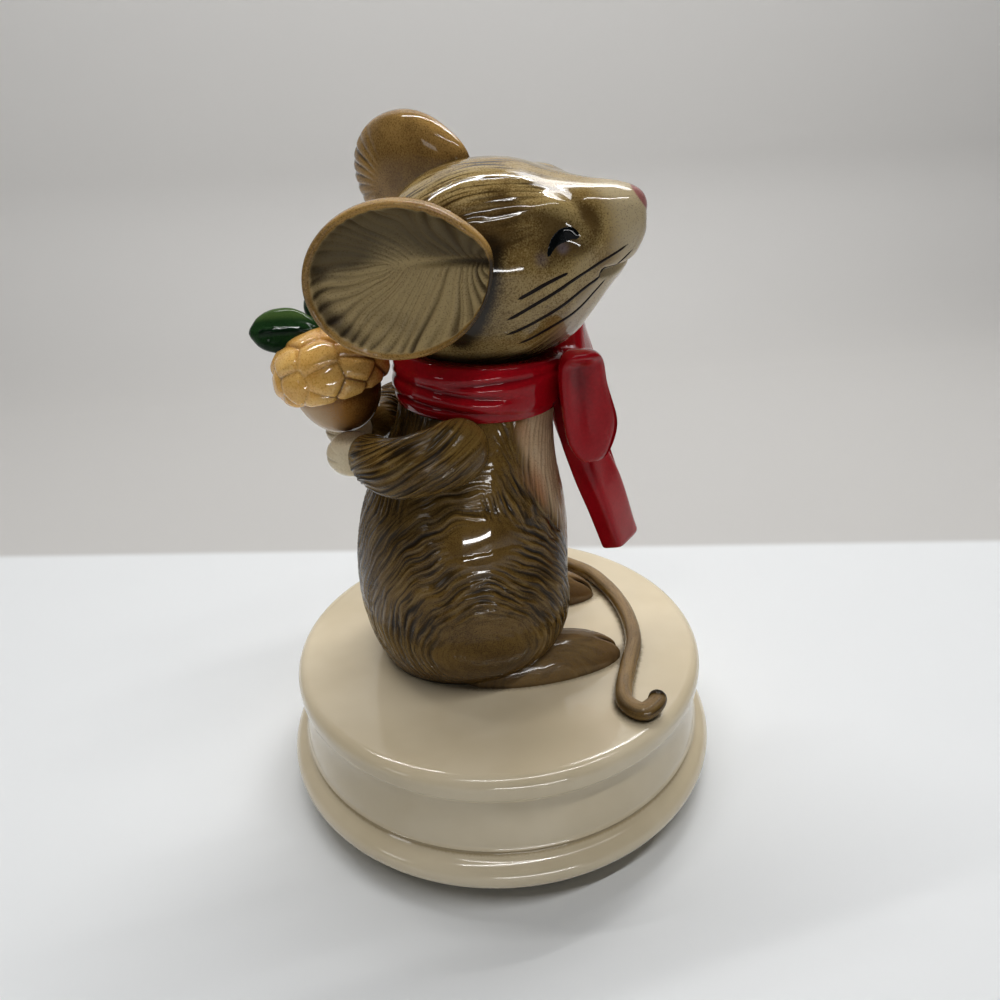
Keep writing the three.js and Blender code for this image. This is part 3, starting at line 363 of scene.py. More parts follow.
# a painted glaze: two body tones, fine hairs, then tints where the mesh says, some of them painted shade or
# painted light, and airbrushed specks
def paintedGlaze(
        name, body, other, tintsAndShades=(), speck=0.35, specks=None, patch=9, fur=None, dull=None, coat=0.1):
    look = glazeLook
    finish = Finish(name)
    grain = finish.noise(speck, 2, 0.6)
    drift = finish.noise(patch, 3, 0.55)
    share = finish.between(drift + (grain - 0.5) * 0.8, 0.28, 0.72)
    colour = finish.mix(tone(*body), tone(*other), share)
    relief = finish.noise(look["ripple"], 1)
    if fur:
        hair = finish.hairs("hair", fur["lane"], fur["length"])
        for field in fur.get("fields", ()):
            combed = finish.hairs(field, fur["lane"], fur["length"])
            hair = hair + (combed - hair) * finish.painted(field + "Cover")
        furry = finish.painted("furry")
        for shade, (low, high, strength) in look["hairs"].items():
            cover = finish.between(hair, low, high) * furry * strength
            colour = finish.mix(colour, tone(*fur[shade]), cover)
        relief = relief - hair * furry * (fur["rise"] / look["rippleRise"])
    # each tint: attribute, colour, strength and feather; several are painted shade or painted light
    for attribute, shade, strength, feather in tintsAndShades:
        cover = finish.painted(attribute) + (grain - 0.5) * feather
        colour = finish.mix(colour, tone(*shade), finish.between(cover, 0.12, 0.88) * strength)
    if specks:
        dots = finish.between(grain, 0.55, 0.68)
        colour = finish.mix(colour, tone(*specks), dots * look["speckle"])
    roughness = look["roughness"] + look["unevenness"] * drift
    gloss = finish.painted("polish") * look["polish"] + coat
    if dull:
        thin = finish.painted(dull)
        roughness = roughness + thin * look["dullness"]
        gloss = gloss * (1 - thin)
    return finish.surface({
        "Base Color": colour,
        "Roughness": roughness,
        "Specular IOR Level": look["shine"],
        "Coat Weight": gloss,
        "Coat Roughness": look["coatRoughness"],
        "Normal": finish.bump(relief, look["rippleRise"]),
    })


# shapes drawn along a line: a round mesh laid on a path, with rounded ends
def limb(rows, around, along, up=(0, 0, 1), square=2, blunt=1):
    rows = np.asarray(rows, float)
    steps = np.linspace(0, 1, len(rows))
    fine = np.linspace(0, 1, 400)
    path = through(np.column_stack([steps, rows]), fine)
    pieces = np.linalg.norm(np.diff(path[:, :3], axis=0), axis=1)
    run = np.concatenate([[0], np.cumsum(pieces)])
    length = run[-1]
    bm = ball(around, along, "X")
    way = spots(bm)
    share = poleShare(-way[:, 0])
    turn = np.arctan2(way[:, 2], way[:, 1])
    capStart = min(blunt * path[0, 3:].max(), length / 2)
    capEnd = min(blunt * path[-1, 3:].max(), length / 2)
    capShare = 0.18  # of the rings, at each end
    lead = np.clip(share / capShare, 0, 1) * pi / 2
    tail = np.clip((1 - share) / capShare, 0, 1) * pi / 2
    middle = np.clip((share - capShare) / (1 - 2 * capShare), 0, 1)
    power = 2 / square
    place = capStart * (1 - np.cos(lead) ** power) + middle * (length - capStart - capEnd)
    place = place + capEnd * np.cos(tail) ** power
    narrow = np.minimum(np.sin(lead), np.sin(tail)) ** power
    column = follow(place, run, path)
    tangents = np.gradient(path[:, :3], run, axis=0)
    ahead = follow(place, run, tangents)
    ahead /= np.linalg.norm(ahead, axis=1)[:, None]
    side = np.cross(ahead, np.asarray(up, float))
    side /= np.linalg.norm(side, axis=1)[:, None]
    over = np.cross(side, ahead)
    flat = squarish(np.cos(turn), power) * narrow * column[:, 3]
    high = squarish(np.sin(turn), power) * narrow * column[:, 4]
    settle(bm, column[:, :3] + side * flat[:, None] + over * high[:, None])
    faceOut(bm)
    return bm, place, turn


def gather(pieces):  # several meshes made one
    whole = bmesh.new()
    for piece in pieces:
        mesh = bpy.data.meshes.new("part")
        piece.to_mesh(mesh)
        piece.free()
        whole.from_mesh(mesh)
        bpy.data.meshes.remove(mesh)
    return whole


# fur and skin glazes
furGlaze = paintedGlaze(
    "fur_glaze", (122, 94, 46), (90, 66, 28), [
        ("pale", (208, 180, 144), 0.85, 0.5),
        ("rust", (166, 108, 64), 0.7, 0.5),
        # dark wash in the carved strokes, and painted shade under parts and where they meet
        ("washAndShade", (28, 18, 7), 0.95, 0.35),
    ], speck=0.25, specks=(60, 43, 18), dull="washAndShade", coat=0.3,
    fur=dict(
        lane=0.6, length=6.5, light=(152, 126, 76), dark=(38, 27, 10), rise=0.13,
        fields=("flank", "upright")))
headGlaze = paintedGlaze(
    "head_glaze", (174, 150, 98), (132, 105, 57), [
        # brown and dusk include painted shade at the ear's root and in the snout's dip
        ("brown", (74, 53, 22), 0.85, 0.6),
        ("pale", (200, 184, 152), 0.75, 0.6),
        ("dusk", (30, 22, 13), 0.95, 0.5),
        ("lilac", (112, 100, 104), 0.8, 0.3),
        ("rose", (150, 84, 86), 0.9, 0.4),
        ("washAndShade", (52, 36, 14), 0.85, 0.5),
    ], speck=0.3, specks=(66, 48, 20),
    fur=dict(lane=0.8, length=13, light=(186, 164, 116), dark=(54, 39, 16), rise=0.04), coat=0.5)
earGlaze = paintedGlaze(
    "ear_glaze", (176, 138, 78), (134, 102, 54), [
        # grey, dusk and the wash carry painted shade in the dish, in the crease and by the cheek
        ("inside", (186, 164, 118), 0.95, 0.25),
        ("grey", (92, 80, 58), 0.9, 0.2),
        ("hairs", (104, 84, 52), 0.5, 0.2),
        ("washAndShade", (56, 40, 20), 0.85, 0.15),
        ("dusk", (26, 20, 16), 0.94, 0.35),
    ], speck=0.3, specks=(84, 62, 30), dull="inside", coat=0.35)


# the body: an upright egg with a haunch bulging from each side
bodyShape = dict(
    set=-7.3,  # of its middle behind the drum's axis
    lean=5.6,  # of the neck towards the front
    depth=46.5,
    width=49,
    rings=[  # share of height, then of depth, of width and of the lean
        (0, 0.81, 0.705, 0), (0.06, 0.885, 0.835, 0), (0.17, 0.965, 0.967, 0), (0.36, 1, 1, 0.04),
        (0.55, 0.93, 0.9, 0.19), (0.7, 0.795, 0.795, 0.42), (0.82, 0.7, 0.705, 0.74),
        (0.93, 0.66, 0.61, 1), (1, 0.54, 0.51, 1),
    ],
    haunch=(16.8, 11.6, 17.3),
    haunchAt=(-3, 13, 17.5),
    haunchBlend=2.4,
    sink=0.4,  # into the drum's top
    furLane=1.7,  # between the carved strokes
    furDepth=0.56,
    swirl=(1.5, 12.5),  # middle of the haunch's rings: along the side, then up
    swirlBare=8.5,  # radius of the smooth knee in the rings' middle
    slant=0.9,  # of the strokes on the flank, in radians
    bare=((1.5, 8), (36, 5)),  # smooth top of the haunch: middle and reach along the side, then up
    bareRise=0.3,
    flankFrom=((-2, 18), (34, 41)),  # where the flank's strokes begin and are full: degrees, then height
    backFrom=((34, 46), (37, 43)),  # the same for the upright ones behind
    chest=(19, 46),  # where the pale chest begins, in degrees, and how much later lower down
    chestClimb=(26, 57),  # heights between which it does so
    waves=[(0.7, 9, 11), (0.34, 4.4, 12), (0.1, 2, 17)],  # that bend the strokes
    mesh=(404, 240),  # steps round it and down it
)


def bodyRadius(height, angle):  # distance of the skin from the body's leaning axis
    look = bodyShape
    rings = through(look["rings"], height / bodyHeight)
    middle = look["set"] + look["lean"] * rings[:, 2]
    cosine, sine = np.cos(angle), np.sin(angle)
    trunk = 1 / np.hypot(cosine / (look["depth"] / 2 * rings[:, 0]), sine / (look["width"] / 2 * rings[:, 1]))
    deep, wide, tall = look["haunch"]
    ahead, out, up = look["haunchAt"]
    room = 1 - ((height - up) / tall) ** 2
    backX, backY = middle - ahead, -out * np.sign(sine)
    square = (cosine / deep) ** 2 + (sine / wide) ** 2
    slope = backX * cosine / deep ** 2 + backY * sine / wide ** 2
    rest = (backX / deep) ** 2 + (backY / wide) ** 2 - room
    inside = slope * slope - square * rest
    haunch = np.where((inside > 0) & (room > 0), (np.sqrt(np.maximum(inside, 0)) - slope) / square, 0)
    return middle, smoothMax(trunk, haunch, look["haunchBlend"])


def makeBody():
    look = bodyShape
    bm = ball(*look["mesh"])
    way = spots(bm)
    share = poleShare(way[:, 2])
    angle = np.arctan2(way[:, 1], way[:, 0])
    angle = angle + 0.14 * np.sin(2 * angle)  # closer rows on the sides
    topCap, footCap = 0.03, 0.05  # shares of the rings on the flat ends
    height = bodyHeight * np.clip(1 - (share - topCap) / (1 - topCap - footCap), 0, 1)
    narrow = np.minimum(np.clip(share / topCap, 0, 1), np.clip((1 - share) / footCap, 0, 1))
    middle, radius = bodyRadius(height, angle)
    radius = radius * narrow
    places = np.column_stack([middle + radius * np.cos(angle), radius * np.sin(angle), deck + height])
    places[:, 2] -= look["sink"] * (1 - ease(height, 0, 4))
    settle(bm, places)
    away = np.arctan2(places[:, 0] - middle, np.abs(places[:, 1])) * look["depth"] / 2
    bare = hill(away, *look["bare"][0]) * hill(height, *look["bare"][1])
    carve(bm, -look["bareRise"] * bare * narrow)
    places = spots(bm)
    side = np.arctan2(places[:, 0] - middle, np.abs(places[:, 1]))
    degrees = np.degrees(side)
    along = look["depth"] / 2 * side
    lift = height - look["swirl"][1]
    over = (along - look["swirl"][0]) * 1.1
    ring = np.hypot(over, lift)
    wave = sway(places, look["waves"])
    lane = look["furLane"]
    cosine, sine = math.cos(look["slant"]), math.sin(look["slant"])
    ways = dict(  # across the strokes, then along them
        hair=(ring + wave, np.abs(np.arctan2(lift, over)) * 15),
        flank=(along * sine + height * cosine + wave, along * cosine - height * sine),
        upright=(along + wave, height),
    )
    fur, flank, upright = (furrows(*way, lane, 13 + 20 * number) for number, way in enumerate(ways.values()))
    for name, way in ways.items():
        comb(bm, name, *way)
    edge = look["chest"][0] + look["chest"][1] * (1 - ease(height, *look["chestClimb"]))
    edge = edge + 4 * wander(places, 6, 7)
    onFlank = ease(degrees + 4 * wander(places, 5, 16), *look["flankFrom"][0])
    onFlank *= ease(height, *look["flankFrom"][1])
    onChest = ease(degrees - edge, -6, 4)
    onBack = ease(-degrees, *look["backFrom"][0]) * ease(height, *look["backFrom"][1])
    onUpright = np.maximum(onChest, onBack)
    for other, cover, name in ((flank, onFlank, "flank"), (upright, onUpright, "upright")):
        fur = fur * (1 - cover) + other * cover
        mark(bm, name + "Cover", cover)
    knee = 0.1 + 0.9 * ease(ring, look["swirlBare"] * 0.7, look["swirlBare"] * 1.8)
    low = 1 - 0.6 * (1 - ease(height, 5, 11)) * ease(degrees, -40, -10)  # fainter by the drum
    rubbed = 1 - ease(bare, 0.1, 0.6)
    mark(bm, "polish", bare)
    patchy = np.clip(0.95 + 0.25 * wander(places, 12, 6), 0.5, 1.2)
    calm = 1 - 0.9 * hill(degrees, 4, 13) * ease(height, 42, 48)  # and under the arm
    strength = knee * low * rubbed * patchy * calm * ease(height, 0.5, 4)
    carve(bm, look["furDepth"] * fur * strength * narrow * (1 - 0.4 * onChest))
    mark(bm, "furry", strength * (1 - 0.7 * onChest))
    pale = ease(degrees - edge, -6, 14)
    mark(bm, "pale", pale * (1 - 0.25 * upright))
    rust = 0.6 * hill(degrees - edge, 6, 9) + 0.5 * pale * hill(height, 43, 6)
    mark(bm, "rust", rust * np.clip(0.6 + 0.4 * wander(places, 6, 8), 0, 1))
    smoke = 0.14 * np.clip(wander(places, 13, 9), 0, 1) + 0.25 * (1 - knee)
    shade = np.clip(0.95 * fur * strength + smoke, 0, 1) * (1 - 0.6 * pale)
    # dark wash in the carved strokes, and painted shade along the foot where the body meets the drum
    mark(bm, "washAndShade", np.maximum(shade, 0.8 * (1 - ease(height, 0.4, 2.2))))
    finishPiece(bm, "torso_fur", furGlaze, ["torso"])


makeBody()
print("body carved")


# arms, drawn back round the sides to hold the acorn
armShape = dict(
    path=[  # right arm from the shoulder: place over the drum's top, half width, half height
        (-3, -13.2, 54.3, 4.3, 5.1), (-7.8, -17.3, 53.9, 5.4, 6.2), (-12.6, -18.9, 53, 5.7, 5.8),
        (-17.6, -18.5, 51.9, 5.4, 5.6), (-21.7, -15.8, 51.5, 4.8, 5.1), (-24.2, -11, 51.6, 4.3, 4.6),
        (-25.4, -6.4, 52, 4, 4.3),
    ],
    furLane=1.7,
    furDepth=0.5,
    wind=0.62,  # of the strokes round the arm, for each millimetre along it
    girth=5.8,
    waves=[(0.55, 7, 31), (0.25, 3.4, 33)],
    mesh=(190, 170),
)


def makeArm(name, side):
    look = armShape
    rows = [(x, y, deck + z, wide, high) for x, y, z, wide, high in look["path"]]
    bm, run, turn = limb(rows, *look["mesh"])
    places = spots(bm)
    turn = np.mod(turn, 2 * pi)  # pi on the outer face, more below it
    across = look["girth"] * turn - look["wind"] * run + sway(places, look["waves"])
    fur = furrows(across, run, look["furLane"], 32)
    carved = ease(run, 3, 11) * (1 - ease(run, run.max() - 7, run.max() - 3))
    carve(bm, look["furDepth"] * fur * carved)
    comb(bm, "hair", across, run)
    mark(bm, "furry", 0.25 + 0.75 * carved)
    shade = 0.95 * fur * (0.2 + 0.8 * carved) + 0.3 * np.clip(wander(places, 9, 35), 0, 1)
    # painted shade under the arm and at its root by the shoulder, and a little painted light along its upper
    # side
    under = 0.65 * ease(-np.sin(turn), 0.5, 1) + 0.85 * (1 - ease(run, 0.6, 3.6))
    mark(bm, "washAndShade", np.maximum(np.clip(shade, 0, 1), under))
    mark(bm, "pale", 0.2 * hill(run, 12, 5) * ease(np.sin(turn), -0.2, 0.5))
    toSide(bm, side)
    finishPiece(bm, name + "_fur", furGlaze, [name])


for name, side in sides:
    makeArm(name + "_arm", side)
print("arms drawn back")


# the head, shaped in its own axes: nose along +X, the mouse's right side at -Y
headShape = dict(
    at=(-1.1, 0, 84),  # over the drum's top
    yaw=-13,
    pitch=-18.5,
    roll=20,
    length=51.6,
    rise=18.8,
    drop=19.5,
    width=37,
    middle=0.365,  # of the length in front of the nape
    rings=[  # share of length, then of rise, of drop and of half width
        (0.05, 0.53, 0.53, 0.54), (0.18, 0.88, 0.87, 0.89), (0.365, 1, 1, 1), (0.52, 0.93, 1, 0.97),
        (0.635, 0.79, 0.93, 0.84), (0.75, 0.56, 0.73, 0.61), (0.865, 0.38, 0.49, 0.41),
        (0.942, 0.27, 0.34, 0.3), (0.987, 0.14, 0.17, 0.17),
    ],
    brow=[(13.2, -7.8, 13), (16.9, -7.9, 10.2), (19.6, -8.4, 7.2), (20.8, -9.4, 4.4)],
    browRise=0.95,
    browWidth=2.6,
    mouth=[(28, 0, -7.4), (26.4, -3.5, -7.3), (24.6, -6.4, -6.6), (22.6, -9, -5.2)],
    mouthDepth=1.3,
    mouthWidth=0.8,
    nose=(32.4, 0, 1.8),
    noseRise=0.5,
    noseSize=2.4,
    dip=(23, -7.8, 4.8),  # between brow and snout
    dipDepth=0.8,
    dipSize=2.6,
    earRoot=[
        (5.8, -15.2, 9.2), (4.4, -16.7, 6.9), (2, -17.8, 3.4), (-1.4, -18.2, -0.6), (-4.4, -17.2, -2.8),
    ],
    leftEarBack=8,  # how much further back the left ear grows
    swells=[  # how far the skin stands out, or in, where and over what size
        (-1.1, (17.6, -12.2, 4.2), 3),  # eye socket
        (0.6, (26, -7.6, -2.6), 4.2),  # whisker pad
        (0.3, (27.4, -2.4, -5.2), 2.2),  # upper lip
        (0.8, (24.6, 0, -10.4), 2.6),  # chin
        (-0.4, (32, -1.4, -1.4), 1.1),  # dip under the nose
        (0.6, (20, -12.8, 0.4), 2.8),  # cheek under the eye
    ],
    brownDabs=[(0.9, (16.4, -12.8, 5), 5), (0.6, (23, -7.6, 5), 2.8)],  # by the eye, and in the dip before the snout as painted shade
    lilacDabs=[(0.9, (17.6, -12.2, 3.7), 1.3), (0.6, (13.4, -15, 4.4), 1.7)],  # under the lid, behind it
    paleDabs=[(0.35, (20, -13, 0.4), 2.6)],  # on the cheek
    furDepth=dict(temple=0.2, crown=0.03, throat=0.2),
    girth=17,  # round which the strokes run
    furLane=1.9,
    mesh=(300, 236),
    lidLine=[
        (14.5, -14.4, 4.2), (16.1, -12.9, 5), (17.8, -11.4, 5.2), (19.1, -10.5, 4.8), (20.2, -10.3, 3.6),
    ],
)
headTurn = (
    overDeck(*headShape["at"])
    @ turned(headShape["yaw"], "Z")
    @ turned(headShape["pitch"], "Y")
    @ turned(headShape["roll"], "X")
)


def along(path, count=60):  # points spaced along a smooth path
    path = np.asarray(path, float)
    return through(np.column_stack([np.linspace(0, 1, len(path)), path]), np.linspace(0, 1, count))


def distance(points, path):  # of each point from a path
    line = along(path)
    return np.min([np.linalg.norm(points - spot, axis=1) for spot in line], axis=0)


def folded(points):  # both sides of the mouse brought to its right side
    return np.column_stack([points[:, 0], -np.abs(points[:, 1]), points[:, 2]])


def makeHead():
    look = headShape
    bm = ball(*look["mesh"], "X")
    way = spots(bm)
    share = np.clip((way[:, 0] + 1) / 2, 0, 1)
    rings = np.array(look["rings"])
    circle = 2 * np.sqrt(rings[:, 0] * (1 - rings[:, 0]))
    swell = np.column_stack([rings[:, 0], rings[:, 1:] / circle[:, None]])
    swell = np.vstack([[0, *swell[0, 1:]], swell, [1, *swell[-1, 1:]]])
    scale = through(swell, share)
    tall = np.where(way[:, 2] > 0, scale[:, 0] * look["rise"], scale[:, 1] * look["drop"])
    places = np.column_stack([
        (share - look["middle"]) * look["length"],
        way[:, 1] * scale[:, 2] * look["width"] / 2,
        way[:, 2] * tall,
    ])
    near = folded(places)
    x, z = near[:, 0], near[:, 2]
    browGap = distance(near, look["brow"])
    mouthGap = distance(near, look["mouth"])
    lidGap = distance(near, look["lidLine"])
    rootGap = distance(near + np.outer(places[:, 1] > 0, (look["leftEarBack"], 0, 0)), look["earRoot"])

    def around(spot, size):  # 1 at the spot, fading over this size
        return hill(np.linalg.norm(near - spot, axis=1), 0, size)

    def dabs(rows):  # several of those: strength, spot and size of each
        return sum(strength * around(spot, size) for strength, spot, size in rows)

    rise = look["browRise"] * hill(browGap, 0, look["browWidth"]) * ease(-z, -12.5, -9)
    rise -= look["mouthDepth"] * hill(mouthGap, 0, look["mouthWidth"])
    rise += look["noseRise"] * around(look["nose"], look["noseSize"])
    rise -= look["dipDepth"] * around(look["dip"], look["dipSize"])
    rise += dabs(look["swells"])
    settle(bm, places)
    settle(bm, places + outward(bm) * rise[:, None])
    turn = np.arctan2(z, -near[:, 1])
    across = look["girth"] * turn + 0.5 * wander(near, 7, 31)
    fur = furrows(across, x, look["furLane"], 32)
    comb(bm, "hair", across, x)
    temple = ease(turn, 0.4, 0.62) * (1 - ease(turn, 0.95, 1.15)) * (1 - ease(x, 9, 16))
    crown = ease(turn, 0.9, 1.1) * (1 - ease(x, 14, 22))
    throat = ease(-z, 7, 13) * (1 - ease(x, 10, 19))
    deep = look["furDepth"]
    carve(bm, (deep["temple"] * temple + deep["crown"] * crown + deep["throat"] * throat) * fur)
    mark(bm, "furry", 0.12 + 0.9 * temple + 0.9 * crown + 0.8 * throat)
    muzzle = 0.75 * ease(x, 21, 28) * (1 - around(look["dip"], 4))
    jaw = 0.8 * ease(-z + 0.4 * (x - 20), 2, 9) * ease(x, 2, 17)
    mark(bm, "pale", np.clip(np.maximum(muzzle, jaw) + dabs(look["paleDabs"]), 0, 0.95))
    # brown: by the eye and on the temples and in patches, with painted shade in the snout's dip and round the
    # ear's root
    brown = dabs(look["brownDabs"]) + 0.55 * temple
    brown += 0.45 * hill(browGap, 3.2, 1.6) + 0.6 * hill(rootGap, 0, 5)
    brown += 0.4 * np.clip(wander(near, 10, 34), 0, 1) * (1 - ease(x, 15, 24))
    mark(bm, "brown", brown)
    # dusk: painted shade at the ear's root, and a dark line along the mouth
    mark(bm, "dusk", 1.15 * hill(rootGap, 0, 2.8) + 0.5 * hill(mouthGap, 0, 0.5))
    mark(bm, "lilac", dabs(look["lilacDabs"]))
    mark(bm, "rose", ease(-np.linalg.norm(near - look["nose"], axis=1), -3.3, -2.2))
    shade = np.clip(1.1 * temple + 0.5 * crown + 0.75 * throat, 0, 1) * fur
    mark(bm, "washAndShade", shade + 0.4 * hill(lidGap, 1.4, 0.9))
    skin = BVHTree.FromBMesh(bm)
    putAt(bm, headTurn)
    finishPiece(bm, "head_fur", headGlaze, ["head"])
    return skin


headSkin = makeHead()


# enamel lines on the face, laid along the skin as thin beads
lineInk = paintedGlaze(
    "line_ink", (20, 12, 7), (30, 19, 11), [("thin", (24, 15, 9), 0.5, 0.3)], speck=0.3, dull="thin")
lidInk = paintedGlaze("lid_ink", (6, 8, 9), (13, 17, 18), speck=0.3)

faceLines = dict(
    whiskers=[  # forward and up on the cheek, from the snout back
        [(16.8, -0.3), (14.4, 0.3), (11.9, 0.6), (7.6, 0.6)],
        [(27.9, -2.6), (22.6, -2.6), (16, -2), (10.1, -1.8), (4.4, -2.2)],
        [(28.6, -4.5), (22.5, -5.1), (16.6, -5.2), (10, -5.1), (3, -5.2)],
        [(22.4, -6.9), (17.3, -8.4), (11, -8.2), (4.4, -8.4)],
    ],
    whiskerWidth=0.62,
    lidWidths=(0.6, 1.5, 2.4, 2.2, 0.9),
    lift=0.1,  # of a line over the skin
)


def laid(path, widths, count=90):  # a bead whose middle line lies on the skin
    spotsOn, ways = [], []
    for place in along(path, count):
        spot, way = headSkin.find_nearest(Vector(place))[:2]
        spotsOn.append(spot)
        ways.append(way)
    spotsOn, ways = np.array(spotsOn), np.array(ways)
    bm = ball(14, count, "X")
    start = spots(bm)
    share = poleShare(-start[:, 0])
    step = np.linspace(0, 1, count)
    middle = follow(share, step, spotsOn)
    over = follow(share, step, ways)
    tangents = np.gradient(spotsOn, axis=0)
    ahead = follow(share, step, tangents)
    side = np.cross(ahead, over)
    side /= np.linalg.norm(side, axis=1)[:, None] + 1e-9
    turn = np.arctan2(start[:, 2], start[:, 1])
    wide = np.interp(share, np.linspace(0, 1, len(widths)), widths) / 2
    narrow = np.minimum(1, np.sin(pi * share) * 6)
    flat = wide * narrow * np.cos(turn)
    high = faceLines["lift"] * narrow * np.sin(turn)
    settle(bm, middle + side * flat[:, None] + over * high[:, None])
    mark(bm, "thin", np.ones(len(wide)))
    if wide.max() > 1:  # wide beads follow the skin
        for vert, height in zip(bm.verts, high):
            spot, way = headSkin.find_nearest(vert.co)[:2]
            vert.co = spot + way * (height + 0.02)
    faceOut(bm)
    return bm


def cheekSpot(x, z, side):  # skin at this place on one cheek
    outside = 40 * side
    return tuple(headSkin.ray_cast(Vector((x, outside, z)), Vector((0, -side, 0)))[0])


def makeFaceLines():
    look = faceLines
    thin = look["whiskerWidth"]
    whiskers, lids = [], []
    for side in (-1, 1):
        for row in look["whiskers"]:
            path = [cheekSpot(x, z, side) for x, z in row]
            whiskers.append(laid(path, [thin * 0.7, thin, thin * 1.15, thin]))
        lid = [(x, -side * y, z) for x, y, z in headShape["lidLine"]]
        lids.append(laid(lid, look["lidWidths"]))
    for pieces, name, ink in ((whiskers, "whisker_lines", lineInk), (lids, "eye_lines", lidInk)):
        bm = gather(pieces)
        putAt(bm, headTurn)
        finishPiece(bm, name, ink)


makeFaceLines()
print("head and face lines done")


# ears: a dished shell with a rolled rim, in axes of their own with the dish towards -Y
earShape = dict(
    length=31.9,
    height=26.1,
    section=[  # from the middle of the dish round the rim to the back: share, reach, depth
        (0, 0, 2.7), (0.2, 0.42, 2.1), (0.3, 0.63, 1.27), (0.4, 0.83, -0.5), (0.45, 0.893, -1.75),
        (0.5, 0.945, -2.25), (0.54, 0.985, -1.6), (0.58, 1, -0.2), (0.62, 0.985, 1), (0.7, 0.88, 2.6),
        (0.8, 0.66, 4.1), (0.9, 0.36, 5.15), (1, 0, 5.5),
    ],
    crease=[(-0.5, 2.1), (15.4, 0.2)],  # its two ends in the dish: along, up
    barbs=(13, 18),  # strokes over and under the crease
    barbLean=(1.25, 0.65),  # how far those sweep back
    barbDepth=0.62,
    fineDepth=0.12,  # of the hairs between the strokes
    creaseDepth=0.9,
    ribDepth=0.4,  # on the back
    poses=dict(
        right=dict(back=9.9, out=18.5, lift=11.5, rake=7, tilt=15.3, turn=-3.3),
        left=dict(back=8.6, out=19.9, lift=12.5, rake=-7.8, tilt=-7.4, turn=38.6),
    ),
    mesh=(250, 190),
)


def makeEar(name, pose, side):
    look = earShape
    bm = ball(*look["mesh"], "Y")
    way = spots(bm)
    share = poleShare(-way[:, 1])
    turn = np.arctan2(way[:, 2], way[:, 0])
    section = through(look["section"], share)
    thin = hill(turn, -0.25, 0.75)  # the rim dies away by the cheek
    reach = section[:, 0] + 0.6 * thin * (1 - section[:, 0]) * ease(share, 0.25, 0.45) * (share < 0.58)
    reach = reach * (1 + 0.065 * hill(turn, 0.15, 0.32))  # that end is pointed
    deep = section[:, 1] * np.where(section[:, 1] < 0, 1 - 0.55 * thin, 1)
    places = np.column_stack([
        reach * np.cos(turn) * look["length"] / 2,
        deep,
        reach * np.sin(turn) * look["height"] / 2,
    ])
    settle(bm, places)
    inner = 1 - ease(share, 0.42, 0.48)
    (startX, startZ), (endX, endZ) = look["crease"]
    half = math.hypot(endX - startX, endZ - startZ) / 2
    slope = math.atan2(endZ - startZ, endX - startX)
    offX, offZ = places[:, 0] - (startX + endX) / 2, places[:, 2] - (startZ + endZ) / 2
    ahead = offX * math.cos(slope) + offZ * math.sin(slope)
    rising = offZ * math.cos(slope) - offX * math.sin(slope)
    aside = np.abs(rising)
    upper = rising > 0
    lean = ahead + np.where(upper, *look["barbLean"]) * aside
    fan = np.arccosh((lean + 1j * (aside + 0.02)) / half)
    lane = fan.imag / pi * np.where(upper, *look["barbs"]) + 0.4 * wander(places, 6, 41)
    own = lot(np.floor(lane) + 40 * upper, 42)
    begins = ease(fan.real, 0, 0.2)
    barb = hill(lane - np.floor(lane), 0.4 + 0.2 * own, 0.25) * (0.35 + 0.65 * own) * begins * inner
    barb *= np.where(upper, 0.65, 1) * (0.45 + 0.55 * ease(reach, 0.25, 0.75))
    fineLane = lane * 2.7 + 0.3 * wander(places, 3, 45)
    fine = hill(fineLane - np.floor(fineLane), 0.5, 0.22) * lot(np.floor(fineLane), 43) * begins * inner
    creaseGap = np.where(np.abs(ahead) < half, aside, np.hypot(aside, np.abs(ahead) - half))
    crease = hill(creaseGap, 0, 0.7) * inner * ease(ahead, -half - 2, half * 0.3)
    outer = ease(share, 0.6, 0.66)
    backLane = turn * 4.6 + 1.6 * (1 - reach) + 0.25 * wander(places, 7, 44)
    ribs = hill(backLane - np.floor(backLane), 0.5, 0.2) * (0.5 + 0.5 * lot(np.floor(backLane), 46))
    ribs *= outer * ease(reach, 0.3, 0.75) * ease(-np.cos(turn), -0.1, 0.6)
    depth = look["barbDepth"] * barb + look["fineDepth"] * fine
    carve(bm, depth + look["creaseDepth"] * crease + look["ribDepth"] * ribs)
    rimward = ease(reach, 0.66, 0.86) * inner
    rear = ease(-np.cos(turn), 0, 0.8)
    mark(bm, "inside", inner)
    # grey over the upper half of the dish and by the rear rim: painted shade
    grey = 0.95 * ease(rising, -2.5, 2) + 0.5 * rimward * rear + 0.3 * wander(places, 9, 47)
    mark(bm, "grey", np.clip(grey, 0, 1) * inner)
    mark(bm, "hairs", fine)
    # dark wash in the strokes and ribs, with painted shade in the crease
    washAndShade = 0.75 * barb + 0.5 * crease + 0.95 * ribs + 0.2 * rimward
    mark(bm, "washAndShade", washAndShade + 0.3 * np.clip(wander(places, 7, 48), 0, 1) * outer)
    # dusk: dark dashes by the rim, plus painted shade in the crease and on the rim beside the cheek
    dusk = 0.9 * barb * rimward * rear + 0.6 * crease * ease(ahead, -3, 4)
    dusk += thin * ease(share, 0.44, 0.5) * (1 - ease(share, 0.66, 0.76)) * ease(-rising, -5, 1)
    mark(bm, "dusk", dusk)
    stand = (
        Matrix.Translation((-pose["back"], -pose["out"], pose["lift"]))
        @ turned(pose["turn"], "Z")
        @ turned(-pose["tilt"], "X")
        @ turned(pose["rake"], "Y")
    )
    putAt(bm, stand)
    toSide(bm, side)
    putAt(bm, headTurn)
    finishPiece(bm, name + "_shell", earGlaze, [name])


for name, side in sides:
    makeEar(name + "_ear", earShape["poses"][name], side)
print("ears dished")


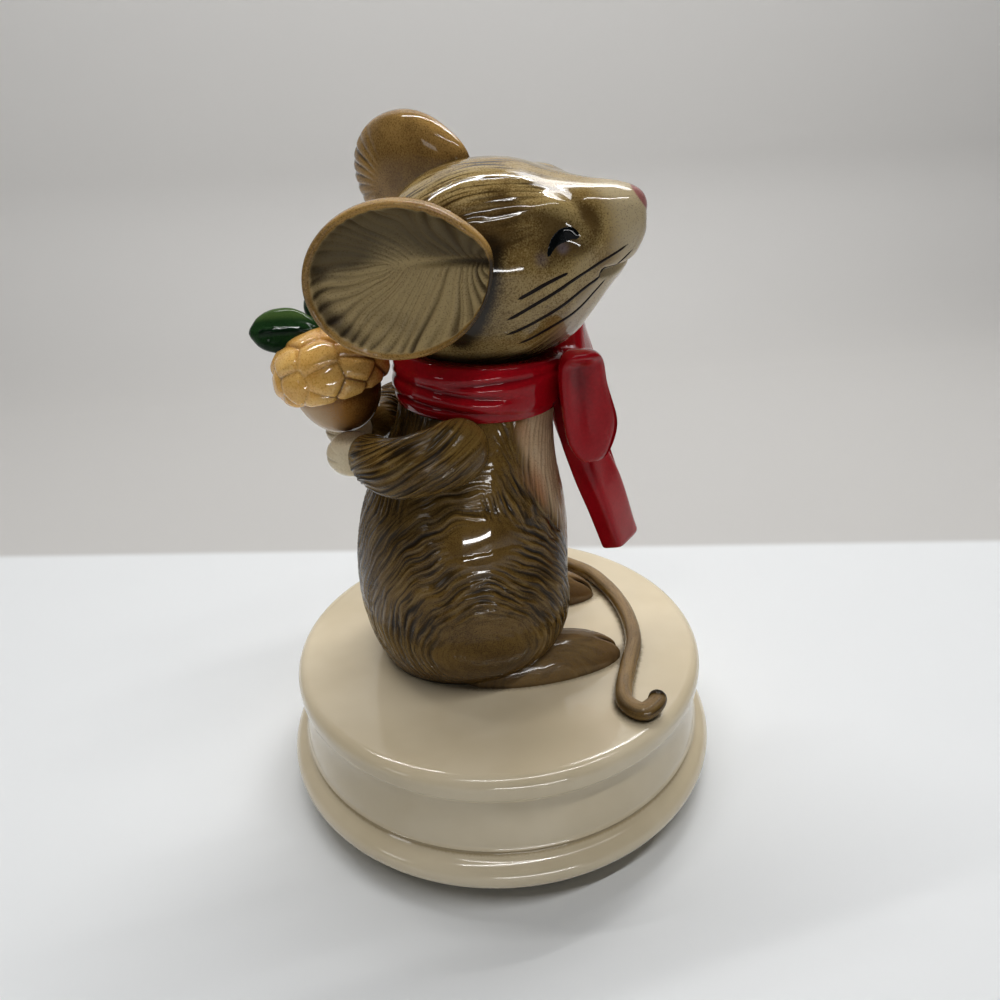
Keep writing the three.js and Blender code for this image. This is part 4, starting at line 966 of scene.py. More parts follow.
# scarf and bow
# the fold tint is painted shade in creases and hollows and under the head and the knot
redGlaze = paintedGlaze(
    "red_glaze", (168, 14, 26), (150, 8, 20), [("fold", (70, 0, 8), 0.85, 0.1)], speck=0.6, patch=14,
    coat=0.3)

scarfShape = dict(
    at=(-1.7, 0, 63.5),  # over the drum's top
    radius=15.4,
    height=10.6,
    thickness=3.8,
    tilt=5,
    section=[  # corners: out in thicknesses, up in half heights
        (-0.75, -1), (0.2, -1), (0.5, -0.55), (0.5, 0.55), (0.25, 1), (-0.75, 1),
    ],
    cuts=9,  # along each side of the section
    steps=200,  # round the neck
    softening=6,  # times that the corners are smoothed
    folds=(-0.42, 0.02, 0.46),  # heights of the creases, in half heights
    foldDepth=0.55,
    foldWidth=0.13,
    foldDrift=0.16,
    wave=0.35,  # of its edges, up and down
)


def makeScarf():
    look = scarfShape
    half, thick = look["height"] / 2, look["thickness"]
    section = [(look["radius"] + thick * out, half * up) for out, up in look["section"]]
    bm = spun(section, look["steps"], cuts=look["cuts"])
    for number in range(look["softening"]):
        bmesh.ops.smooth_vert(
            bm, verts=bm.verts[:], factor=0.5, use_axis_x=True, use_axis_y=True, use_axis_z=True)
    places = spots(bm)
    angle = np.arctan2(places[:, 1], places[:, 0])
    ring = aroundAxis(look["radius"], angle, np.zeros(len(angle)))
    outside = ease(np.hypot(places[:, 0], places[:, 1]), look["radius"] + 0.2, look["radius"] + 1.4)
    fold = np.zeros(len(angle))
    for number, height in enumerate(look["folds"]):
        drift = height + look["foldDrift"] * wander(ring, 16, 50 + number)
        come = np.clip(0.6 + 0.7 * wander(ring, 14, 60 + number), 0.15, 1)
        fold = np.maximum(fold, hill(places[:, 2] / half, drift, look["foldWidth"]) * come)
    carve(bm, fold * look["foldDepth"] * outside)
    places = spots(bm)
    places[:, 2] += look["wave"] * wander(ring, 18, 70)
    settle(bm, places)
    # painted shade in the creases and along the top edge under the head
    mark(bm, "fold", np.clip(0.7 * fold * outside + 0.5 * ease(places[:, 2] / half, 0.86, 1), 0, 1))
    putAt(bm, overDeck(*look["at"]) @ turned(look["tilt"], "Y"))
    finishPiece(bm, "scarf_folds", redGlaze, ["scarf_band"])


makeScarf()

bowShape = dict(
    at=(17.25, 0, 62.2),  # over the drum's top
    knot=(3.5, 4, 4.9),  # half sizes
    loop=[  # share, out from the knot, half thickness, half height, droop
        (0, 0, 0, 0, 0), (0.06, 0.3, 2.2, 3.2, 0), (0.2, 2, 3.2, 4.6, 0.2), (0.36, 6, 4.2, 8, 0.6),
        (0.5, 10.2, 4.9, 10.6, 0.95), (0.6, 12.6, 5.2, 11.3, 1), (0.66, 13.6, 5, 11.15, 1),
        (0.71, 14, 4.5, 10.6, 1), (0.86, 14, 2.2, 5.2, 1), (1, 14, 0, 0, 1),
    ],
    loopFrom=2,  # of its root from the middle
    loopHalf=(5.2, 11.3),  # its largest half thickness and half height
    loopSquare=3.4,  # 2 is a round section, more is squarer
    knotSquare=3,
    droop=2.6,
    forward=(-0.2, 2.2),  # of the right and the left loop
    lean=1.5,  # of a loop's top towards the neck
    lift=(0, 4.6),
    channel=1.5,  # depth of the hollow in a loop's end
    lipRise=0.9,  # of the edge over it and the swelling under it
    lobeRise=0.3,
    pleat=2.3,  # between the knot's pleats
    pleatDepth=0.4,
    loopMesh=(210, 200),
    knotMesh=(90, 70),
    ribbonMesh=(120, 120),
    ribbonLength=34.2,
    ribbonFlare=9.6,
    ribbonCut=4,  # how much lower an end's outer corner hangs
    ribbonWide=11,
    ribbonThick=5,
    ribbonOut=6,  # of a ribbon from the middle
    ribbonFace=(0.82, -0.57, 0),
    ribbonAhead=0.7,
    farRibbon=(0.4, 8),  # how far the left one stands forward and is shorter
    ribbonRows=[  # share of the way down, of the flare, of the distance out and of the width
        (0.06, -0.2, 0.6, 0.6), (0.25, -0.08, 0.85, 0.85), (0.5, 0.23, 1, 0.95), (0.76, 0.62, 1, 1.05),
        (1.02, 1, 1, 1.16),
    ],
)


def makeLoop(name, side):
    look = bowShape
    bm = ball(*look["loopMesh"], "Y")
    way = spots(bm)
    share = poleShare(way[:, 1])  # 0 at the knot, 1 at the loop's end
    out, thick, high, droop = through(look["loop"], share).T
    turn = np.arctan2(way[:, 2], way[:, 0])
    power = 2 / look["loopSquare"]
    flat = squarish(np.cos(turn), power) * thick
    tall = squarish(np.sin(turn), power) * high
    across, upward = flat / look["loopHalf"][0], tall / look["loopHalf"][1]
    end = ease(share, 0.54, 0.68)
    waist = 1 - 0.12 * hill(upward, -1, 0.3) - 0.1 * hill(upward, 0.45, 0.3) * (flat > 0) - 0.08 * (flat < 0)
    waist += 0.14 * hill(upward, -0.3, 0.35) * (flat > 0)  # the lobe under the channel
    hollow = hill(across, -0.12, 0.48) * ease(upward, -0.95, 0.3) * (1 - ease(upward, 0.7, 0.92))
    lip = hill(upward, 0.93, 0.1)
    lobe = hill(across, 0.35, 0.6) * hill(upward, -0.48, 0.4)
    depth = look["channel"] * hollow - look["lipRise"] * lip - look["lobeRise"] * lobe
    depth = depth + 0.8 * (across + 0.2) ** 2 + across - upward  # its face bulges, and looks a little down
    far = int(side > 0)
    settle(bm, np.column_stack([
        look["at"][0] + flat * waist + (look["forward"][far] - look["lean"] * upward) * droop,
        -look["loopFrom"] - out + depth * end,
        deck + look["at"][2] + tall + (look["lift"][far] - look["droop"]) * droop,
    ]))
    faceOut(bm)
    root = 1 - ease(share, 0.08, 0.3)
    # painted shade in the hollow of the loop's end and at its root by the knot
    mark(bm, "fold", 0.5 * hollow * end + 0.6 * root)
    toSide(bm, side)
    finishPiece(bm, name + "_fold", redGlaze, [name])


def makeRibbon(name, side):
    look = bowShape
    half, thick = look["ribbonWide"] / 2, look["ribbonThick"] / 2
    stand, shorter = look["farRibbon"] if side > 0 else (0, 0)
    flare = look["ribbonFlare"] * (1 - shorter / look["ribbonLength"])
    rows = []
    for down, ahead, out, wide in look["ribbonRows"]:
        rows.append((
            look["at"][0] + look["ribbonAhead"] + flare * ahead + stand,
            -look["ribbonOut"] * out,
            deck + look["at"][2] - (look["ribbonLength"] - shorter) * down,
            half * wide,
            thick * (1.1 - 0.1 * down),
        ))
    bm, run, turn = limb(rows, *look["ribbonMesh"], up=look["ribbonFace"], square=6, blunt=0.4)
    places = spots(bm)
    outer = 0.5 - 0.5 * squarish(np.cos(turn), 0.33)
    places[:, 2] -= look["ribbonCut"] * outer * ease(run, run.max() - 14, run.max() - 1)
    settle(bm, places)
    # painted shade near the top under the knot and on one edge face
    mark(bm, "fold", 0.6 * (1 - ease(run, 8, 14)) + 0.3 * ease(-np.cos(turn), 0.75, 0.95))
    settle(bm, places + outward(bm) * (0.12 * wander(places, 9, 81))[:, None])
    toSide(bm, side)
    finishPiece(bm, name + "_slab", redGlaze, [name])


def makeKnot():
    look = bowShape
    bm = ball(*look["knotMesh"], "Y")
    way = spots(bm)
    places = squarish(way, 2 / look["knotSquare"]) * look["knot"]
    settle(bm, places + [look["at"][0], 0, deck + look["at"][2]])
    pleat = hill(np.mod(places[:, 1] / look["pleat"] + 0.12 * np.sin(places[:, 2]), 1), 0.5, 0.17)
    pleat *= ease(places[:, 0], 0, 2)
    faceOut(bm)
    carve(bm, look["pleatDepth"] * pleat)
    # painted shade in the pleats
    mark(bm, "fold", 0.7 * pleat)
    finishPiece(bm, "bow_knot_pleats", redGlaze, ["bow_knot"])


makeKnot()
for name, side in sides:
    makeLoop(name + "_bow_loop", side)
    makeRibbon(name + "_bow_tail", side)
print("scarf and bow folded")


# the acorn with its leaves, and the paws that hold it
capGlaze = paintedGlaze(
    "cap_glaze", (252, 206, 122), (240, 180, 90), [
        ("shade", (160, 100, 38), 0.8, 0.5),
        ("washAndShade", (88, 50, 16), 0.9, 0.3),
    ], specks=(196, 140, 66), coat=0.7)
nutGlaze = paintedGlaze(
    "nut_glaze", (186, 132, 68), (160, 106, 46), [
        # pale is painted light on one side, the wash painted shade on the other
        ("pale", (204, 180, 148), 0.9, 0.4),
        ("washAndShade", (66, 40, 16), 0.85, 0.3),
    ], coat=0.15)
leafGlaze = paintedGlaze(
    "leaf_glaze", (36, 66, 32), (22, 48, 22), [
        # light is painted light on the upper half; the wash adds painted shade on the lower half
        ("light", (84, 108, 56), 0.7, 0.6),
        ("washAndShade", (6, 22, 11), 0.85, 0.2),
    ], speck=0.3)
pawGlaze = paintedGlaze(
    "paw_glaze", (238, 222, 190), (222, 204, 168), [("washAndShade", (116, 96, 70), 0.8, 0.4)])

acornShape = dict(
    axis=(-30.4, 0),
    lean=12,  # degrees, its top away from the mouse
    pivot=66,  # heights over the drum's top
    nutFoot=53.4,
    capFoot=62.5,
    nutRadius=8.9,
    capRadius=11.4,
    capHeight=12.4,
    capRows=[  # from under the cap to its top: share of the way, of the radius, of the height
        (0, 0, 0.08), (0.1, 0.6, 0.06), (0.17, 0.82, 0.02), (0.26, 0.95, 0.09), (0.38, 1, 0.27),
        (0.52, 0.97, 0.5), (0.66, 0.83, 0.74), (0.8, 0.57, 0.91), (0.92, 0.24, 0.99), (1, 0, 1),
    ],
    scales=[  # rows of scales: share of the way up, number round the cap
        (0.21, 10), (0.43, 10), (0.65, 8), (0.87, 4),
    ],
    scaleRise=0.8,
    scaleHeight=4,
    scaleEdge=2.4,  # width over which a scale rises from its groove
    nutMesh=(120, 90),
    capMesh=(260, 180),
)
acornLean = (
    overDeck(*acornShape["axis"], acornShape["pivot"])
    @ turned(-acornShape["lean"], "Y")
    @ Matrix.Translation((0, 0, -acornShape["pivot"]))
)


def makeNut():
    look = acornShape
    bm = ball(*look["nutMesh"])
    way = spots(bm)
    angle = np.arctan2(way[:, 1], way[:, 0])
    up = (way[:, 2] + 1) / 2
    height = look["nutFoot"] + up * (look["capFoot"] + 4 - look["nutFoot"])
    radius = look["nutRadius"] * np.sqrt(np.clip(1 - (1 - up) ** 2.4, 0, 1)) * np.where(up > 0.97, 0.6, 1)
    radius = np.where(np.hypot(way[:, 0], way[:, 1]) < 1e-4, 0, radius)
    settle(bm, aroundAxis(radius, angle, height))
    faceOut(bm)
    # painted light on the nut's outer side, painted shade on the side towards the mouse and under the cap
    mark(bm, "pale", 0.75 * ease(-np.cos(angle) - 0.3 * np.sin(angle) + 0.15 * (1 - up), -0.1, 1.05))
    mark(bm, "washAndShade", 0.65 * ease(np.cos(angle), -0.1, 0.9) + 0.4 * ease(up, 0.5, 0.7))
    putAt(bm, acornLean)
    finishPiece(bm, "acorn_nut_skin", nutGlaze, ["acorn_nut"])


def capSkin(share, angle):  # the cap before its scales are raised
    look = acornShape
    radius, height = through(look["capRows"], share).T
    return aroundAxis(radius * look["capRadius"], angle, look["capFoot"] + height * look["capHeight"])


def makeCap():
    look = acornShape
    bm = ball(*look["capMesh"])
    way = spots(bm)
    angle = np.arctan2(way[:, 1], way[:, 0])
    share = poleShare(-way[:, 2])  # 0 under the cap, 1 at its top
    places = capSkin(share, angle)
    settle(bm, places)
    faceOut(bm)
    draw = np.random.default_rng(95)
    seeds = []
    for row, (climb, count) in enumerate(look["scales"]):  # rows of scales, set unevenly
        turns = (np.arange(count) + 0.5 * (row % 2) + draw.uniform(-0.2, 0.2, count)) * 2 * pi / count
        seeds.append(capSkin(climb + draw.uniform(-0.04, 0.04, count), turns))
    seeds = np.vstack(seeds)
    gaps = np.linalg.norm(places[:, None] - seeds, axis=2)
    climb = (places[:, 2] - seeds[gaps.argmin(axis=1), 2]) / look["scaleHeight"]  # up each scale
    gaps = np.sort(gaps, axis=1)[:, :2]
    between = gaps[:, 1] - gaps[:, 0]  # 0 in the groove between two scales
    side = ease(share, 0.13, 0.2)
    strength = side * (1 - 0.6 * ease(share, 0.7, 0.9))
    puff = np.clip(between / look["scaleEdge"], 0, 1) ** 0.5 * (1 - 0.6 * np.clip(climb, -1, 1))
    carve(bm, look["scaleRise"] * (0.7 - puff) * strength)
    facing = np.cos(angle) + 0.15 * np.sin(angle)  # towards the mouse
    # lines between the scales, darker on the side towards the mouse as painted shade; the dark underside is
    # painted shade
    inkAndShade = np.clip(0.5 + 0.6 * facing + 0.45 * wander(places, 8, 93), 0.08, 1)
    under = 0.8 * (1 - ease(share, 0.12, 0.2))
    mark(bm, "washAndShade", np.maximum(hill(between, 0, 0.55) * strength * inkAndShade, under))
    flank = 0.55 * ease(facing, -0.1, 0.9) * (1 - ease(share, 0.7, 1)) + 0.45 * ease(share, 0.5, 0.85)
    mark(bm, "shade", 0.3 * hill(between, 0, 1.1) * strength + flank)
    putAt(bm, acornLean)
    finishPiece(bm, "acorn_cap_scales", capGlaze, ["acorn_cap"])


leafShape = dict(
    root=(-31.3, 0, 74),
    length=14.5,
    width=8.8,
    thickness=4.2,
    ribDepth=0.55,
    veins=6,
    veinDepth=0.05,
    outline=[  # share of the length, of the width
        (0, 0.4), (0.12, 0.6), (0.35, 0.96), (0.55, 1), (0.75, 0.86), (0.9, 0.58), (1, 0.25),
    ],
    mesh=(110, 120),
    ways=dict(  # which way a leaf points, and which way is across it
        outer_leaf=((-1, 0.1, 0.04), (0, 0.5, 0.87)),
        inner_leaf=((0.12, 0.72, 0.62), (1, -0.3, 0)),
    ),
)


def makeLeaf(name):
    look = leafShape
    ahead, across = (np.array(Vector(way).normalized()) for way in look["ways"][name])
    over = np.cross(across, ahead)
    bm = ball(*look["mesh"], "X")
    way = spots(bm)
    share = (way[:, 0] + 1) / 2
    blade = through(look["outline"], share)[:, 0]
    edge = np.clip(1 - way[:, 0] ** 8, 0, 1) ** 0.5
    girth = np.hypot(way[:, 1], way[:, 2]) + 1e-9
    flat = way[:, 1] / girth * blade * edge * look["width"] / 2
    high = way[:, 2] / girth * edge * (0.55 + 0.45 * blade) * look["thickness"] / 2
    run = share * look["length"]
    rib = hill(flat, -0.6, 0.7) * ease(share, 0.05, 0.25) * (1 - ease(share, 0.7, 0.95))
    cup = 0.02 * flat ** 2 - 0.011 * run ** 2
    root = np.array(look["root"]) + [0, 0, deck]
    settle(bm, root + np.outer(run, ahead) + np.outer(flat, across) + np.outer(high + cup, over))
    faceOut(bm)
    veins = hill(np.mod(share * look["veins"] - np.abs(flat) * 0.3, 1), 0.5, 0.2) * hill(flat, 0, 3.4)
    carve(bm, look["ribDepth"] * rib + look["veinDepth"] * veins)
    # painted light on one half of the blade, painted shade on the other; the midrib and veins darker
    mark(bm, "light", 0.7 * ease(flat, 0.6, 2.8))
    mark(bm, "washAndShade", 0.9 * rib + 0.2 * veins + 0.5 * ease(-flat, 1, 3))
    finishPiece(bm, name + "_blade", leafGlaze, [name])


pawShape = dict(
    at=(-27.9, 7.2, 51.2),
    farAt=(-29.2, 7.2, 51.6),
    half=(5, 5, 4.4),
    toes=4,
    mesh=(110, 90),
)


def makePaw(name, side):
    look = pawShape
    bm = ball(*look["mesh"])
    way = spots(bm)
    angle = np.arctan2(way[:, 2], -way[:, 0])
    gaps = np.mod(angle * look["toes"] / 2.4 + 0.5, 1)
    toes = hill(gaps, 0.5, 0.09) * ease(-way[:, 0], 0.35, 0.75) * hill(angle, 0, 1)
    x, y, z = look["at"] if side < 0 else look["farAt"]
    settle(bm, way * look["half"] * (1 - 0.05 * toes)[:, None] + [x, side * y, deck + z])
    # painted shade on the paw's top under the acorn and over all of the far paw; darker in the toe grooves
    mark(bm, "washAndShade", 0.4 * toes + 0.75 * ease(way[:, 2], 0.55, 0.95) + 0.5 * (side > 0))
    finishPiece(bm, name + "_toes", pawGlaze, [name])


makeNut()
makeCap()
for name in leafShape["ways"]:
    makeLeaf(name)
for name, side in sides:
    makePaw(name + "_paw", side)
print("acorn, leaves and paws done")


# feet and tail, lying on the drum
footShape = dict(
    length=36,
    width=12.6,
    height=8.5,
    toeAt=26.4,
    spread=14.2,
    splay=6,
    sole=0.08,  # depth under its middle, in heights
    toes=(-0.2, 0.3),  # the grooves between the toes, in half widths
    toeDepth=1.1,
    furLane=1.5,
    furDepth=0.06,
    mesh=(160, 150),
)


def makeFoot(name, side):
    look = footShape
    bm = ball(*look["mesh"], "X")
    way = spots(bm)
    x = way[:, 0] * look["length"] / 2
    y = way[:, 1] * look["width"] / 2
    z = way[:, 2] * look["height"] * np.where(way[:, 2] > 0, 1, look["sole"])
    tip = ease(way[:, 0], 0.6, 0.85)
    places = np.column_stack([x, y, z])
    settle(bm, places)
    wide = np.sqrt(1 - way[:, 0] ** 2 + 0.02)
    grooves = sum(hill(way[:, 1], middle * wide, 0.06) for middle in look["toes"])
    toes = grooves * tip * ease(way[:, 2], -0.02, 0.1)
    across = way[:, 1] * 6 + 0.4 * wander(places, 7, 101)
    fur = furrows(across, x, look["furLane"], 102) * (way[:, 2] > 0)
    comb(bm, "hair", across, x)
    mark(bm, "furry", 0.4 * (1 - tip))
    carve(bm, look["toeDepth"] * toes + look["furDepth"] * fur)
    # darker in the toe grooves and strokes, with painted shade on the underside
    mark(bm, "washAndShade", toes + 0.25 * fur + 0.4 * ease(-way[:, 2], -0.16, 0))
    mark(bm, "polish", 0.6 * ease(way[:, 0], 0.2, 0.6))
    mark(bm, "rust", 0.3 * ease(way[:, 0], 0.2, 0.8))
    mark(bm, "pale", np.full(len(x), 0.34))
    stand = overDeck(look["toeAt"] - look["length"] / 2, -look["spread"])
    putAt(bm, stand @ turned(look["splay"], "Z"))
    toSide(bm, side)
    finishPiece(bm, name + "_fur", furGlaze, [name])


for name, side in sides:
    makeFoot(name + "_foot", side)

tailShape = dict(
    ring=45.3,
    radius=1.85,
    streak=(0.75, 14),  # lane and length of its strokes
    streakDepth=0.09,
    mesh=(40, 420),
    route=[  # degrees round the drum, share of the ring, lift in tail radii
        (160, 0.63, 1), (129, 0.7, 1), (100, 0.75, 1), (71, 0.78, 1), (43, 0.745, 1), (24, 0.715, 1),
        (2, 0.69, 1), (-19, 0.7, 1), (-37, 0.72, 1), (-48, 0.77, 1), (-54, 0.84, 1),
        (-54, 0.93, 1.1), (-50, 0.955, 1.6), (-47, 0.93, 2.2),
    ],
)


def tailPath():
    look = tailShape
    rows = []
    for degrees, share, lift in look["route"]:
        reach = look["ring"] * share
        turn = math.radians(degrees)
        rows.append((reach * math.cos(turn), reach * math.sin(turn), deck + look["radius"] * (lift - 0.15)))
    return rows


def makeTail():
    look = tailShape
    rows = [(*place, look["radius"], look["radius"]) for place in tailPath()]
    bm, run, turn = limb(rows, *look["mesh"])
    places = spots(bm)
    across = turn * look["radius"] + 0.2 * wander(places, 8, 111)
    streak = strokes(across, run, *look["streak"], 112, 0.22)
    carve(bm, look["streakDepth"] * streak)
    comb(bm, "hair", across, run)
    mark(bm, "furry", np.full(len(run), 0.6))
    length = run.max()
    tip = ease(run, length - 2.2, length - 0.9)
    # painted shade on the tail's underside and painted light along its top
    low = 0.65 * ease(-np.sin(turn), 0.1, 0.9)
    mark(bm, "washAndShade", np.clip(0.4 * streak + low + 0.85 * tip, 0, 1))
    mark(bm, "pale", 0.46 * hill(np.sin(turn), 1, 0.6) * (1 - tip))
    finishPiece(bm, "tail_fur", furGlaze, ["tail"])


makeTail()
print("feet and tail laid")


# the drum, hollow for the movement and open below
creamLook = dict(
    body=(227, 212, 182),
    other=(218, 202, 170),
    # tan in the groove over the roll, also painted shadow under the rim's step
    groove=(168, 146, 104),
    brownBand=(108, 88, 54),  # darker brown in a soft band round the tail and the feet
    fleck=(96, 78, 56),
    fleckGap=7,  # millimetres between flecks
    roughness=0.1,
    shine=0.4,
    coat=0.45,
    coatRoughness=0.03,
    ripple=7,  # size of the waves in the glaze
    rippleRise=0.06,
)


def creamGlaze():
    look = creamLook
    finish = Finish("cream_glaze")
    grain = finish.noise(0.5, 3, 0.6)
    drift = finish.noise(22, 3, 0.5)
    colour = finish.mix(tone(*look["body"]), tone(*look["other"]), finish.between(drift, 0.35, 0.65))
    groove = finish.between(finish.painted("groove") + (grain - 0.5) * 0.5, 0.2, 0.8)
    colour = finish.mix(colour, tone(*look["groove"]), groove * 0.75)
    brownBand = finish.between(finish.painted("brownBand") + (grain - 0.5) * 0.5, 0.1, 0.9)
    colour = finish.mix(colour, tone(*look["brownBand"]), brownBand * 0.85)
    sockets = {"Vector": finish.place, "Scale": 1 / (look["fleckGap"] * mm), "Randomness": 1}
    cell = finish.node("ShaderNodeTexVoronoi", None, sockets, out="Distance")
    fleck = finish.between(cell, 0.045, 0.03) * finish.between(finish.noise(9, 1), 0.55, 0.6)
    colour = finish.mix(colour, tone(*look["fleck"]), fleck * 0.8)
    craze = finish.noise(1.4, 2, 0.5)
    return finish.surface({
        "Base Color": colour,
        "Roughness": look["roughness"] + 0.06 * drift + 0.03 * craze,
        "Specular IOR Level": look["shine"],
        "Coat Weight": look["coat"],
        "Coat Roughness": look["coatRoughness"],
        "Normal": finish.bump(finish.noise(look["ripple"], 1), look["rippleRise"]),
    })


drumShape = dict(
    radius=44.9,  # of the band under the rim
    flare=1.6,  # of the band towards the groove
    bottom=4.3,
    rollHeight=7.6,
    rollOut=5.1,
    grooveHeight=1.4,
    grooveDeep=0.4,
    rimOut=1.75,
    rimHeight=6,
    round=2.6,  # of the rim's upper edge
    cavity=41.1,
    cavityTop=26.14,
    vent=5,
    bossRing=38.3,
    bossRadius=3.6,
    bossAngles=(75, 180, 285),
    bossFoot=8.2,
    tailBand=(0.8, 1),  # strength and width of the brown round the tail and the feet
    footBand=(0.6, 0.9),
    steps=300,  # round the drum
    rows=dict(roll=26, groove=9, band=22, rim=10, edge=14, top=96),
)


def drumOutline():
    look = drumShape
    low, rollTop = look["bottom"], look["bottom"] + look["rollHeight"]
    rollMiddle = low + look["rollHeight"] / 2
    rows = [(look["cavity"], low), (look["radius"] + 0.6, low)]
    for share in np.linspace(-0.93, 0.9, look["rows"]["roll"]):  # the lower roll
        reach = look["radius"] + look["rollOut"] * math.sqrt(1 - share * share)
        rows.append((reach, rollMiddle + share * look["rollHeight"] / 2))
    waist = look["radius"] + look["flare"]
    for share in np.linspace(0, 1, look["rows"]["groove"]):  # the groove over it
        reach = waist + 0.35 - look["grooveDeep"] * math.sin(pi * share)
        rows.append((reach, rollTop + look["grooveHeight"] * share))
    bandLow = rollTop + look["grooveHeight"]
    rimLow = deck - look["rimHeight"]
    for share in np.linspace(0.04, 1, look["rows"]["band"]):  # the band, drawing in and out again
        out = look["flare"] * (1 - ease(share, 0, 0.8)) + look["rimOut"] * 0.2 * ease(share, 0.95, 1)
        rows.append((look["radius"] + out, bandLow + share * (rimLow - bandLow)))
    rimTop = deck - look["round"]
    for share in np.linspace(0.1, 1, look["rows"]["rim"]):  # the rim's face
        bulge = 0.2 + 0.8 * math.sin(pi / 2 * min(1, 1.7 * share))
        rows.append((look["radius"] + look["rimOut"] * bulge, rimLow + share * (rimTop - rimLow)))
    middle = look["radius"] + look["rimOut"] - look["round"]
    for share in np.linspace(0.08, 1, look["rows"]["edge"]):  # its rounded edge
        turn = share * pi / 2
        rows.append((middle + look["round"] * math.cos(turn), rimTop + look["round"] * math.sin(turn)))
    for reach in np.linspace(middle - 0.75, look["vent"], look["rows"]["top"]):  # the top
        rows.append((reach, deck))
    rows += [(look["vent"], look["cavityTop"]), (look["cavity"] - 2.2, look["cavityTop"])]
    rows += [(look["cavity"] - 0.64, look["cavityTop"] - 0.64), (look["cavity"], look["cavityTop"] - 2.2)]
    return rows


def makeDrum():
    look = drumShape
    bm = spun(drumOutline(), look["steps"])
    for degrees in look["bossAngles"]:  # posts for the cover's screws
        height = look["cavityTop"] + 0.3 - look["bossFoot"]
        middle = turned(degrees, "Z") @ Vector((look["bossRing"], 0, look["bossFoot"] + height / 2))
        bmesh.ops.create_cone(
            bm, cap_ends=True, segments=40, radius1=look["bossRadius"], radius2=look["bossRadius"],
            depth=height, matrix=Matrix.Translation(middle))
    places = spots(bm)
    reach = np.hypot(places[:, 0], places[:, 1])
    rollTop = look["bottom"] + look["rollHeight"]
    outside = ease(reach, look["radius"] - 1, look["radius"])
    groove = hill(places[:, 2], rollTop + look["grooveHeight"] / 2, 0.7)
    # painted shadow: a dark line under the rim's step; the groove over the roll is a tan line in the glaze
    step = hill(places[:, 2], deck - look["rimHeight"], 0.4)
    mark(bm, "groove", (groove + 0.75 * step) * outside)
    top = ease(places[:, 2], deck - 0.5, deck - 0.1)
    tailGap = np.maximum(distance(places, tailPath()) - tailShape["radius"], 0)
    foot = footShape
    footGap = np.full(len(places), 99.0)
    for side in (-1, 1):
        middle = np.array([foot["toeAt"] - foot["length"] / 2, side * foot["spread"]])
        turn = -side * math.radians(foot["splay"])
        off = places[:, :2] - middle
        ahead = off[:, 0] * math.cos(turn) + off[:, 1] * math.sin(turn)
        aside = off[:, 1] * math.cos(turn) - off[:, 0] * math.sin(turn)
        ring = np.hypot(ahead / (foot["length"] / 2), aside / (foot["width"] / 2))
        footGap = np.minimum(footGap, np.maximum(ring - 1, 0) * foot["width"] / 2)
    brownBand = 0
    for gap, (strength, width) in ((tailGap, look["tailBand"]), (footGap, look["footBand"])):
        brownBand = brownBand + strength * hill(gap, 0, width)
    mark(bm, "brownBand", np.clip(brownBand, 0, 0.9) * top)
    finishPiece(bm, "drum_shell", creamGlaze(), ["base_shell"], sharp=40)


makeDrum()
print("drum turned")


# what the drum stands on: a dark turning foot with a rubber pad
def plainFinish(name, body, other, roughness, unevenness, size, metallic=0, rise=0.02, coat=0):
    finish = Finish(name)
    grain = finish.noise(size, 3, 0.6)
    drift = finish.noise(size * 9, 2, 0.5)
    patches = finish.between(grain * 0.6 + drift * 0.4, 0.35, 0.65)
    return finish.surface({
        "Base Color": finish.mix(tone(*body), tone(*other), patches),
        "Metallic": metallic,
        "Roughness": roughness + unevenness * (grain - 0.5),
        "Coat Weight": coat,
        "Normal": finish.bump(grain, rise),
    })


darkPlastic = plainFinish("dark_plastic", (52, 47, 42), (42, 38, 34), 0.42, 0.2, 0.5)
padRubber = plainFinish("pad_rubber", (38, 37, 36), (30, 29, 29), 0.85, 0.15, 0.3, rise=0.05)
turningFoot = dict(
    radius=45,
    low=1.1,
    high=3.8,
    edge=0.8,
    ribs=90,
    ribDepth=0.35,
    padRadius=42,
    padHigh=1,
    padRings=5,
    padBare=6,  # radius inside the rings
    padGroove=0.25,  # depth between them
    padSteps=160,
)


